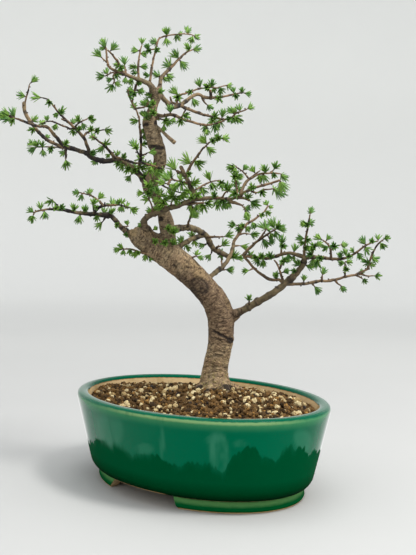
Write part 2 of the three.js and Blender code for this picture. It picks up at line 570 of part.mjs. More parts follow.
        152, 114, 158, 115, 165, 116, 171, 114, 176, 115, 180, 117, 185, 120, 192, 121, 200, 123, 207, 125, 211, 125,
        217, 123, 222, 121, 228, 119] },
    ],
    tufts: [180, 123, 187, 114, 197, 119, 207, 131, 217, 129, 229, 120, 171, 110],
  },
};

// ---------------------------------------------------------------- tree: how it grows

/** A curve through rows of [x, y, back, width], and its radius at a share of its length. */
function drawnLimb(rows) {
  const marks = rows.map(([x, y, back]) => new THREE.Vector3(x, y, back));
  const spans = [0];
  for (let i = 1; i < marks.length; i++) {
    spans.push(spans[i - 1] + marks[i].distanceTo(marks[i - 1]));
  }
  const whole = spans[spans.length - 1];
  const radiusAt = (share) => {
    const next = Math.max(1, spans.findIndex((span) => span >= share * whole - 1e-6));
    const part = (share * whole - spans[next - 1]) / (spans[next] - spans[next - 1]);
    return THREE.MathUtils.lerp(rows[next - 1][3], rows[next][3], part) / 2;
  };
  return { curve: new THREE.CatmullRomCurve3(marks), radiusAt };
}

/** The centre line of a limb as straight segments, each with its ends and its radius. */
function segmentsOf({ curve, radiusAt }, step) {
  const steps = Math.max(2, Math.round(curve.getLength() / step));
  const centres = curve.getSpacedPoints(steps);
  return centres.slice(1).map((to, i) => ({ from: centres[i], to, radius: radiusAt((i + 0.5) / steps) }));
}

/** A closed tube round a limb, its rings square to the curve; `grow` makes it thicker all over. */
function limbSolid({ curve, radiusAt }, { sides, step, grow = 0, ripple = 0 }) {
  const steps = Math.max(2, Math.round(curve.getLength() / step));
  const { tangents, normals, binormals } = curve.computeFrenetFrames(steps, false);
  const centres = curve.getSpacedPoints(steps);
  centres[0].addScaledVector(tangents[0], -grow);
  centres[steps].addScaledVector(tangents[steps], grow);
  const points = [];
  centres.forEach((centre, ring) => {
    for (let side = 0; side < sides; side++) {
      const angle = (side / sides) * 2 * Math.PI;
      const wave = Math.sin(3 * angle + 0.9 * ring) + 0.7 * Math.sin(5 * angle - 1.7 * ring);
      const radius = radiusAt(ring / steps) * (1 + ripple * wave) + grow;
      points.push(fromBoard(centre.clone()
        .addScaledVector(normals[ring], radius * Math.cos(angle))
        .addScaledVector(binormals[ring], radius * Math.sin(angle))));
    }
  });
  return solidFrom(points, ringFaces(centres.length, sides, false));
}

/** The place on a set of segments that lies nearest to x, y as the board shows them. */
function nearestPlace(segments, x, y) {
  let best = { distance: Infinity };
  for (const { from, to, radius } of segments) {
    const [runX, runY] = [to.x - from.x, to.y - from.y];
    const along = ((x - from.x) * runX + (y - from.y) * runY) / (runX ** 2 + runY ** 2 || 1);
    const point = from.clone().lerp(to, THREE.MathUtils.clamp(along, 0.1, 0.9));
    const distance = Math.hypot(x - point.x, y - point.y);
    if (distance < best.distance) {
      best = { distance, point, radius };
    }
  }
  return best;
}

/** The limbs of a spray. Each starts on what is nearest to its foot and runs evenly to its tip's depth. */
function growStems(stems, carrier) {
  const limbs = [];
  const segments = [];
  for (const { width, back, path } of stems) {
    const foot = nearestPlace(segments.length ? segments : carrier, path[0], path[1]).point;
    const marks = [];
    for (let i = 0; i < path.length; i += 2) {
      marks.push(new THREE.Vector3(path[i], path[i + 1], 0));
    }
    if (Math.hypot(foot.x - path[0], foot.y - path[1]) > 1) {
      marks.unshift(foot.clone());
    }
    let run = 0;
    const runs = marks.map((mark, i) => (run += i ? Math.hypot(mark.x - marks[i - 1].x, mark.y - marks[i - 1].y) : 0));
    marks.forEach((mark, i) => (mark.z = THREE.MathUtils.lerp(foot.z, back, runs[i] / run)));
    const radiusAt = (share) => THREE.MathUtils.lerp(width[0], width[1], share) / 2;
    const limb = { curve: new THREE.CatmullRomCurve3(marks), radiusAt };
    limbs.push(limb);
    segments.push(...segmentsOf(limb, TWIG.step));
  }
  return { limbs, segments, ends: limbs.map(({ curve }) => curve.getPoint(1)) };
}

/** The least distance between two straight segments. */
function segmentDistance(a, b, c, d) {
  const [u, v, w] = [b.clone().sub(a), d.clone().sub(c), a.clone().sub(c)];
  const [uu, uv, vv, uw, vw] = [u.dot(u), u.dot(v), v.dot(v), u.dot(w), v.dot(w)];
  const clamp = (value) => THREE.MathUtils.clamp(value, 0, 1);
  const spread = uu * vv - uv * uv;
  let s = spread > 1e-9 ? clamp((uv * vw - vv * uw) / spread) : 0;
  const t = clamp((uv * s + vw) / (vv || 1));
  s = clamp((uv * t - uw) / (uu || 1));
  return w.addScaledVector(u, s).addScaledVector(v, -t).length();
}

/**
 * A tuft of needles on its spur: a three-sided spur that widens from inside its twig, with seven needles raised
 * from the faces of its tip, three level, three leaning forward and one straight on.
 */
function makeTuft(root, centre, chance, size) {
  const axis = centre.clone().sub(root).normalize();
  const helper = Math.abs(axis.y) < 0.8 ? new THREE.Vector3(0, 1, 0) : new THREE.Vector3(1, 0, 0);
  const first = new THREE.Vector3().crossVectors(axis, helper).normalize();
  const second = new THREE.Vector3().crossVectors(axis, first);
  const spin = 2 * Math.PI * chance();
  const around = (azimuth, rise, radius) => centre.clone()
    .addScaledVector(first, radius * Math.cos(rise) * Math.cos(spin + azimuth))
    .addScaledVector(second, radius * Math.cos(rise) * Math.sin(spin + azimuth))
    .addScaledVector(axis, radius * Math.sin(rise));
  const third = (2 * Math.PI) / 3;
  const core = TUFT.core * Math.sqrt(size);
  const points = [root];
  for (let i = 0; i < 3; i++) points.push(around(i * third, TUFT.coreBack, core));
  for (let i = 0; i < 3; i++) points.push(around((i + 0.5) * third, TUFT.coreFront, core));
  const faces = [];
  const tips = [];
  const raise = (a, b, c, azimuth, rise) => {
    const length = size * NEEDLE.length * THREE.MathUtils.lerp(NEEDLE.shortest, NEEDLE.longest, chance());
    const tip = around(azimuth + 0.4 * (chance() - 0.5), rise + 0.2 * (chance() - 0.5), length);
    const top = points.push(tip) - 1;
    tips.push(tip);
    faces.push([a, b, top], [b, c, top], [c, a, top]);
  };
  for (let i = 0; i < 3; i++) {
    const j = (i + 1) % 3;
    faces.push([0, 1 + j, 1 + i]);
    raise(1 + i, 1 + j, 4 + i, (i + 0.5) * third, NEEDLE.level);
    raise(1 + j, 4 + j, 4 + i, (i + 1) * third, NEEDLE.forward);
  }
  raise(4, 5, 6, 0, NEEDLE.straight);
  return { points, faces, tips };
}

/** The drawn places of a spray's tufts, those by the tips of its stems first. */
function tipsFirst(marks, ends) {
  const places = [];
  for (let i = 0; i < marks.length; i += 2) {
    const [x, y] = [marks[i], marks[i + 1]];
    const fromTip = Math.min(...ends.map((end) => Math.hypot(end.x - x, end.y - y)));
    places.push({ x, y, fromTip: fromTip < TUFT.spacing ? 0 : 1 });
  }
  return places.sort((a, b) => a.fromTip - b.fromTip);
}

/** A spray's tufts, each turned, shortened or left out so that it stays clear of every other node. */
function growTufts(marks, ends, segments, others, chance) {
  const placed = [];
  const solids = [];
  const taken = [];
  for (const { x, y } of tipsFirst(marks, ends)) {
    const place = nearestPlace(segments, x, y);
    const lean = place.distance < TUFT.lieOn ? TUFT.leanOn : Math.min(TUFT.mostLean, TUFT.lean * place.distance);
    const centre = new THREE.Vector3(x, y, place.point.z + (chance() < TUFT.toFront ? -lean : lean));
    if (placed.some((other) => other.distanceTo(centre) < TUFT.spacing)) continue;
    const root = place.point;
    const isNear = ({ from, to }) => segmentDistance(centre, centre, from, to) < TUFT.reach;
    const foreign = others.filter(isNear);
    const own = [...segments, ...taken].filter(isNear);
    const isClear = (near, from, to, thickness) => near.every((other) =>
      segmentDistance(from, to, other.from, other.to) > other.radius + thickness + NEEDLE.clear);
    for (let attempt = 0; attempt < TUFT.tries; attempt++) {
      const tuft = makeTuft(root, centre, chance, attempt < TUFT.fullUntil * TUFT.tries ? 1 : TUFT.small);
      const near = attempt < TUFT.strictUntil * TUFT.tries ? [...foreign, ...own] : foreign;
      const hasRoom = tuft.tips.every((tip) => isClear(near, centre, tip, NEEDLE.radius));
      if (hasRoom && isClear(foreign, root, centre, TUFT.core)) {
        placed.push(centre);
        solids.push(solidFrom(tuft.points.map(fromBoard), tuft.faces));
        taken.push({ from: root, to: centre, radius: TUFT.core });
        taken.push(...tuft.tips.map((tip) => ({ from: centre, to: tip, radius: NEEDLE.radius })));
        break;
      }
    }
  }
  return { solids, taken };
}

const TRUNK_LIMBS = {
  main: { ...drawnLimb(TRUNK.line), sides: 10, step: 10.5, ripple: 0.035 },
  leader: { ...drawnLimb(TRUNK.leader), sides: 8, step: 10, ripple: 0.03 },
  roots: TRUNK.roots.map((rows) => ({ ...drawnLimb(rows), sides: 5, step: 11, ripple: 0 })),
  stubs: TRUNK.stubs.map((rows) => ({ ...drawnLimb(rows), sides: 5, step: 8, ripple: 0 })),
};

/** The bare wood of the trunk, leader, roots and stubs; `grow` makes it thicker all over. */
function makeWood(grow) {
  const { main, leader, roots, stubs } = TRUNK_LIMBS;
  return wasm.Manifold.union([main, leader, ...roots, ...stubs].map((limb) => limbSolid(limb, { ...limb, grow })));
}

/** The whole tree: the trunk with its shoots, and one solid for each leafy spray. */
function makeTree() {
  const chance = randomSource(SEED);
  const wood = makeWood(0);
  const grownWood = makeWood(GAP);
  const { main, leader, roots, stubs } = TRUNK_LIMBS;
  const woodSegments = [main, leader, ...roots, ...stubs].flatMap((limb) => segmentsOf(limb, limb.step));
  const carrier = [main, leader].flatMap((limb) => segmentsOf(limb, limb.step));
  const nodes = Object.entries({ trunk: TRUNK, ...SPRAYS })
    .map(([name, drawn]) => ({ name, drawn, ...growStems(drawn.stems, carrier) }));
  const tree = {};
  for (const node of nodes) {
    const isTrunk = node.name === "trunk";
    const others = nodes.filter((other) => other !== node).flatMap((other) => other.segments);
    const carried = isTrunk ? [...node.segments, ...carrier] : node.segments;
    const avoid = isTrunk ? others : [...others, ...woodSegments];
    const { solids, taken } = growTufts(node.drawn.tufts, node.ends, carried, avoid, chance);
    const twigs = node.limbs.map((limb) => {
      const sides = limb.radiusAt(0) > TWIG.thick ? TWIG.sides : TWIG.thinSides;
      return limbSolid(limb, { sides, step: TWIG.step });
    });
    const whole = wasm.Manifold.union([...twigs, ...solids, ...(isTrunk ? [wood] : [])]);
    tree[node.name] = largestBody(isTrunk ? whole : whole.subtract(grownWood));
    node.segments.push(...taken);
  }
  return { tree, grownWood };
}

// ---------------------------------------------------------------- the object

/** The whole bonsai as a group of named meshes, its box centred on the Z axis. */
function makeBonsai() {
  const bonsai = new THREE.Group();
  const { tree, grownWood } = makeTree();
  const [x, y, back] = TRUNK.line[3];
  const trunkFoot = fromBoard(new THREE.Vector3(x, y, back));
  bonsai.add(meshOf("pot", makePot(), FINISH.glaze()));
  bonsai.add(meshOf("screen_left", makeScreen(-1), FINISH.screen()));
  bonsai.add(meshOf("screen_right", makeScreen(1), FINISH.screen()));
  bonsai.add(meshOf("soil", makeSoil(grownWood, trunkFoot), FINISH.soil()));
  for (const [name, solid] of Object.entries(tree)) {
    bonsai.add(meshOf(name, solid, name === "trunk" ? FINISH.bark() : FINISH.needles()));
  }
  const middle = new THREE.Box3().setFromObject(bonsai).getCenter(new THREE.Vector3());
  bonsai.position.set(-middle.x, -middle.y, 0);
  return bonsai;
}

export default makeBonsai();
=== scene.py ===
"""A larch bonsai in an oval glazed pot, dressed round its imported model.

Every surface is in metres, with +Z up and the pot's long side along X. The pot and the soil are set out from
the pot's own sizes. The tree is set out on a drawing board that stands upright across the pot, square to the
line of sight: x runs right and y runs down from the board's top left corner, and the third number is how far
behind the board a point lies, all in millimetres.
"""

from __future__ import annotations

import logging
import math
from collections.abc import Mapping, Sequence
from dataclasses import dataclass, field
from enum import Enum, IntEnum

import bmesh
import bpy
import numpy as np
from bpy.types import ID, Material, Mesh, Node, NodeSocket, Object
from mathutils import Matrix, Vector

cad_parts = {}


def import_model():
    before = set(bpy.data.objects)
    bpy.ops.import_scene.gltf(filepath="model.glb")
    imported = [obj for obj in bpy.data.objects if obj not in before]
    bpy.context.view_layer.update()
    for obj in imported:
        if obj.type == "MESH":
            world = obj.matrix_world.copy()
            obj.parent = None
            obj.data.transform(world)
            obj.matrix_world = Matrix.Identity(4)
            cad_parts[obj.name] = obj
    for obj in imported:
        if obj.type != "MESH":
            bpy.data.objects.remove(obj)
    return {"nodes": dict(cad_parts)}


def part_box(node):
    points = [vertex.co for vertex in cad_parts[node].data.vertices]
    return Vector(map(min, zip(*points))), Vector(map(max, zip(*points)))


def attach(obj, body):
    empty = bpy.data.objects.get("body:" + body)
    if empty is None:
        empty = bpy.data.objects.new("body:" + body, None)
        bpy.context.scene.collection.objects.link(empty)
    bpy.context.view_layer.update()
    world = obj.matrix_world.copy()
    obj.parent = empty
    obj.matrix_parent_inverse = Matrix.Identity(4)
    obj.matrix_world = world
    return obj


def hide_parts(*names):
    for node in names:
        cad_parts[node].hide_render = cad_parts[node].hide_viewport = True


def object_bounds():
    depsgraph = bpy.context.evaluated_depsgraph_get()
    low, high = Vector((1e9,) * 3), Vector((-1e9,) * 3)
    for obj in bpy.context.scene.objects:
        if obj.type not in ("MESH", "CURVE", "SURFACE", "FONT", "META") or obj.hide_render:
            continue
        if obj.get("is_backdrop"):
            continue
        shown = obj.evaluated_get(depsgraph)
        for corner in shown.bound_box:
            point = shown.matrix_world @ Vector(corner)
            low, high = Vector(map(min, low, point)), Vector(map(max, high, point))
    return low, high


LOG = logging.getLogger("bonsai")
Array = np.ndarray
Colour = tuple[float, float, float, float]
Pair = tuple[float, float]
Triple = tuple[float, float, float]

MM = 0.001
SEED = 1871
GOLDEN_ANGLE = math.pi * (3 - math.sqrt(5))
ROOT = "root"
SHOOTS = "trunk_shoots"
MARGIN = 0.0002


# ---- small tools


def paint(red: float, green: float, blue: float) -> Colour:
    """A screen colour, 0 to 255, as the linear colour that shaders use."""
    linear = [((c / 255 + 0.055) / 1.055) ** 2.4 if c > 10 else c / 255 / 12.92 for c in (red, green, blue)]
    return (linear[0], linear[1], linear[2], 1.0)


def unit(vectors: Array) -> Array:
    """Vectors of length 1 with the same directions."""
    return vectors / np.maximum(np.linalg.norm(vectors, axis=-1, keepdims=True), 1e-12)


def ease(values: Array, low: float, high: float) -> Array:
    """A smooth step: 0 below low, 1 above high, and t * t * (3 - 2 * t) between them."""
    t = np.clip((values - low) / (high - low), 0, 1)
    return t * t * (3 - 2 * t)


def circle(count: int) -> Array:
    """Even angles round a circle, from 0."""
    return np.arange(count) / count * 2 * np.pi


def travelled(points: Array) -> Array:
    """How far along a line each of its points lies."""
    return np.append(0, np.cumsum(np.linalg.norm(np.diff(points, axis=0), axis=1)))


def dice(offset: int) -> np.random.Generator:
    """A seeded source of random numbers, one for each piece."""
    return np.random.default_rng(SEED + offset)


def written(text: str, columns: int) -> Array:
    """Numbers written out, as rows of so many columns."""
    return np.array(text.split(), float).reshape(-1, columns)


def linked(name: str, data: ID) -> Object:
    """Makes an object and puts it in the scene.

    Args:
        name: Its name.
        data: The mesh, lamp or camera that it shows.

    Returns:
        The object.
    """
    made = bpy.data.objects.new(name, data)
    bpy.context.scene.collection.objects.link(made)
    return made


class Cloud:
    """Smooth random bumps in three dimensions, on a lattice whose values repeat by a hash of their place."""

    LATTICE = 4096
    STRIDES = np.array([73856093, 19349663, 83492791])
    SALT = 2654435761
    SHIFT = 13

    def __init__(self, seed: int) -> None:
        """Draws the lattice's values; the seed picks the pattern."""
        self.values = np.random.default_rng(seed).uniform(-1, 1, self.LATTICE)
        self.seed = seed

    def at(self, points: Array, size: float) -> Array:
        """Value noise: the eight corners of a lattice cell blended by smooth steps along its three edges.

        Args:
            points: Places, one row each.
            size: Width of a bump, in the unit of the points.

        Returns:
            A number from -1 to 1 for each place.
        """
        scaled = points / size
        cell = np.floor(scaled).astype(np.int64)
        part = scaled - cell
        part = part * part * (3 - 2 * part)
        total = np.zeros(len(points))
        for corner in range(8):
            step = np.array([corner & 1, corner >> 1 & 1, corner >> 2 & 1])
            key = (cell + step) @ self.STRIDES + self.seed * self.SALT
            key = (key ^ (key >> self.SHIFT)) & (self.LATTICE - 1)
            total += self.values[key] * np.prod(np.where(step, part, 1 - part), axis=1)
        return total

    def layered(self, points: Array, size: float, layers: int = 3, fade: float = 0.5) -> Array:
        """Bumps on bumps, from about -1 to 1: each layer half as wide as the last and fade times as high."""
        parts = [fade**n * self.at(points + 7.3 * n * size, size / 2**n) for n in range(layers)]
        return sum(parts) / sum(fade**n for n in range(layers))


@dataclass
class Shell:
    """Points, faces and per-point values of a surface under construction."""

    points: Array
    faces: list[Array]
    values: dict[str, Array] = field(default_factory=dict)

    @staticmethod
    def joined(shells: Sequence[Shell]) -> Shell:
        """Makes one shell of several.

        Args:
            shells: The shells, which all carry the same values.

        Returns:
            The points, faces and values of them all.
        """
        starts = np.cumsum([0] + [len(shell.points) for shell in shells])
        faces = [face + start for shell, start in zip(shells, starts) for face in shell.faces]
        corners = sorted({face.shape[1] for face in faces})
        return Shell(
            np.concatenate([shell.points for shell in shells]),
            [np.concatenate([face for face in faces if face.shape[1] == count]) for count in corners],
            {name: np.concatenate([shell.values[name] for shell in shells]) for name in shells[0].values},
        )

    def outward(self) -> Shell:
        """Turns the faces so that the volume inside, the sum of a . (b x c) over their triangles, is positive.

        Returns:
            The shell itself.
        """
        cuts = [face[:, [0, i, i + 1]] for face in self.faces for i in range(1, face.shape[1] - 1)]
        triangles = np.concatenate(cuts)
        a, b, c = (self.points[triangles[:, i]] - self.points[0] for i in range(3))
        if np.einsum("ij,ij->", a, np.cross(b, c)) < 0:
            self.faces = [face[:, ::-1] for face in self.faces]
        return self

    def build(self, name: str, smooth: bool = True) -> Object:
        """Makes the Blender object, at the origin, with its values as point attributes.

        Args:
            name: The piece's name.
            smooth: Whether its faces are shaded smooth.

        Returns:
            The object, in the scene.
        """
        mesh = bpy.data.meshes.new(name)
        corners = np.concatenate([face.ravel() for face in self.faces]).astype(np.int32)
        counts = np.concatenate([np.full(len(face), face.shape[1]) for face in self.faces])
        mesh.vertices.add(len(self.points))
        mesh.vertices.foreach_set("co", self.points.astype(np.float32).ravel())
        mesh.loops.add(len(corners))
        mesh.polygons.add(len(counts))
        mesh.polygons.foreach_set("loop_start", (np.cumsum(counts) - counts).astype(np.int32))
        mesh.polygons.foreach_set("vertices", corners)
        mesh.polygons.foreach_set("use_smooth", np.full(len(counts), smooth))
        mesh.update(calc_edges=True)
        set_values(mesh, self.values)
        return linked(name, mesh)


def set_values(mesh: Mesh, values: Mapping[str, Array]) -> None:
    """Writes numbers or vectors to the points of a mesh, as named attributes.

    Args:
        mesh: The mesh.
        values: One number or one vector for each point, by name.
    """
    for name, numbers in values.items():
        kind, key = ("FLOAT", "value") if numbers.ndim == 1 else ("FLOAT_VECTOR", "vector")
        mesh.attributes.new(name, kind, "POINT").data.foreach_set(key, numbers.astype(np.float32).ravel())


def net(rings: int, sides: int) -> Array:
    """The four-sided faces between rings of points, ring by ring.

    Args:
        rings: How many rings there are.
        sides: Points round each ring.

    Returns:
        The point numbers of each face.
    """
    ring, place = np.meshgrid(np.arange(rings - 1), np.arange(sides), indexing="ij")
    here, beside = ring * sides + place, ring * sides + (place + 1) % sides
    return np.stack([here, beside, beside + sides, here + sides], axis=-1).reshape(-1, 4)


def fan(first: int, count: int, middle: int, flipped: bool) -> Array:
    """The triangles between a ring of points and one point in its middle.

    Args:
        first: Number of the ring's first point.
        count: Points round the ring.
        middle: Number of the point in the middle.
        flipped: Whether they run against the ring's order.

    Returns:
        The point numbers of each triangle.
    """
    here = np.arange(count)
    ends = [first + here, first + (here + 1) % count]
    return np.stack([*(ends[::-1] if flipped else ends), np.full(count, middle)], axis=-1)


def closed_tube(rings: Array, values: Mapping[str, Array] | None = None) -> Shell:
    """A tube through rings of points, its two ends closed on the middles of the end rings.

    Args:
        rings: Points as [ring, place round it, axis].
        values: Numbers for each ring and place round it.

    Returns:
        The tube.
    """
    count, sides = rings.shape[:2]
    ends = rings[[0, -1]].mean(axis=1)
    total = count * sides
    caps = np.concatenate([fan(0, sides, total, True), fan(total - sides, sides, total + 1, False)])
    carried = {}
    for name, numbers in (values or {}).items():
        flat = numbers.reshape(total, *numbers.shape[2:])
        carried[name] = np.concatenate([flat, numbers[[0, -1]].mean(axis=1)])
    return Shell(np.concatenate([rings.reshape(-1, 3), ends]), [net(count, sides), caps], carried)


# ---- drawing board


@dataclass(frozen=True)
class Board:
    """The line of sight and the drawing board across it, in millimetres and degrees, beside the pot."""

    pot_middle: Pair
    distance: float = 808.0
    side: float = 6.7
    height: float = 240.0
    down: float = 2.4
    lean: float = 1.0
    turn: float = 42.0
    centre: Pair = (208.0, 277.5)

    def axes(self) -> Array:
        """The board's directions, each leant, tipped and then turned about +Z with the pot.

        Returns:
            Rows of length 1: rightwards, upwards and ahead.
        """
        down, lean = math.radians(self.down), math.radians(self.lean)
        ahead = np.array([0, math.cos(down), -math.sin(down)])
        level = np.array([1.0, 0, 0])
        upright = np.array([0, math.sin(down), math.cos(down)])
        right = level * math.cos(lean) + upright * math.sin(lean)
        up = upright * math.cos(lean) - level * math.sin(lean)
        return np.array([right, up, ahead]) @ self.spin().T

    def spin(self) -> Array:
        """The turn about +Z as a matrix."""
        turn = math.radians(self.turn)
        return np.array([[math.cos(turn), -math.sin(turn), 0], [math.sin(turn), math.cos(turn), 0], [0, 0, 1]])

    def eye(self) -> Array:
        """Where the eye is, in metres."""
        beside = self.spin() @ np.array([self.side, -self.distance, self.height])
        return beside * MM + np.array([*self.pot_middle, 0])

    def place(self, marks: Array) -> Array:
        """Board to object: the ray from the eye through (x, y), lengthened by 1 + back / distance.

        Args:
            marks: Rows that start with x, y and back, in millimetres.

        Returns:
            Points in metres.
        """
        right, up, ahead = self.axes()
        x, y, back = (marks[..., i, None] for i in range(3))
        rays = (x - self.centre[0]) * right + (self.centre[1] - y) * up + self.distance * ahead
        return rays * (1 + back / self.distance) * MM + self.eye()

    def find(self, points: Array) -> Array:
        """Object to board, the other way round.

        Args:
            points: Points in metres.

        Returns:
            Their x, y and back, in millimetres.
        """
        x, y, ahead = ((points - self.eye()) @ self.axes().T / MM).T
        scale = self.distance / ahead
        return np.stack([self.centre[0] + x * scale, self.centre[1] - y * scale, ahead - self.distance], axis=-1)


@dataclass(frozen=True)
class Stem:
    """A drawn twig: its width at its foot and tip, how far back its tip lies, and the x and y of its path."""

    width: Pair
    back: float
    path: Array


@dataclass(frozen=True)
class Drawing:
    """The twigs of one spray, each grown from the nearest before it, and its tufts as x, y and needle length.

    dark says how dark the bark's blots are, and mottle picks where they lie on the first twig.
    """

    stems: tuple[Stem, ...]
    tufts: Array
    dark: float = 0.3
    mottle: int = 0

    @staticmethod
    def read(twigs: str, tufts: str, dark: float = 0.3, mottle: int = 0) -> Drawing:
        """Reads a drawing.

        Args:
            twigs: A twig to a line.
            tufts: The tufts.
            dark: How dark the bark's blots are.
            mottle: Picks where they lie on the first twig.

        Returns:
            The drawing.
        """
        rows = [written(line, 1).ravel() for line in twigs.strip().splitlines()]
        stems = tuple(Stem((row[0], row[1]), row[2], row[3:].reshape(-1, 2)) for row in rows)
        return Drawing(stems, written(tufts, 3), dark, mottle)


# Rows of x, y, back and width.
TRUNK_LINE = written("""
214 414 24 26  215 402 24 33  215 392 24 35  215 385 24 31.5  215 372 24 26.5  217 360 23 25  219 350 22 24.5
220.3 340 21 25.5  221 328 20 26.5  220.2 314 18 27  215.2 301 16 26  206.5 290 14 24.5  197.5 280.5 12 25
187 270 10 26.5  175 260 8 27  163 251 6 27  150.5 243.5 5 25  141.5 238 4 22.5  136 234.5 3.5 18.5  132 232 3.5 12
""", 4)
LEADER_LINE = written("""
178 258 8 17  171 250 7 17  168 238 5 16  167 228 3 15.5  165 218 1 14  162 208 -1 11.5  157 200 -3 9.5
155 192 -4 9.5  152 183 -5 12  153 175 -6 14  158 168 -7 13  160 160 -8 13  159 152 -9 14  156 145 -9.5 16
154 138 -10 16  151 130 -10.5 14  150 122 -11 15  152 112 -11.5 10.5  154 104 -12 8.5  156 95 -12 11.5  155 88 -12 8.5
""", 4)
ROOT_LINES = (
    written("211 383 20 15  203 387 18 11  195 391 17 7.5  187 398 16 4", 4),
    written("221 383 24 14  230 387 26 11  240 390.5 27 7.5  250 397 28 4", 4),
    written("213 384 17 15  210 390 10 10  207 398 4 5", 4),
    written("220 384 17 15  225 390 9 10  229 398 3 5", 4),
    written("211 381 30 14  206 384 39 9.5  202 390 48 5", 4),
    written("220 381 31 14  226 383 40 9.5  231 389 50 5", 4),
)
STUB_LINES = (
    written("153 126 -11 6  158 127.5 -12 3.6  167 136 -15 3.6  175 143 -18 4.4", 4),
    written("224 339 20 8  231 339 19 7  234 339 18.5 4.5", 4),
    written("222 322 18 15  230 320 17 10  236 318 16.5 5  240 316 16 2.5", 4),
)
WOOD_LINES = (TRUNK_LINE, LEADER_LINE, *ROOT_LINES, *STUB_LINES)

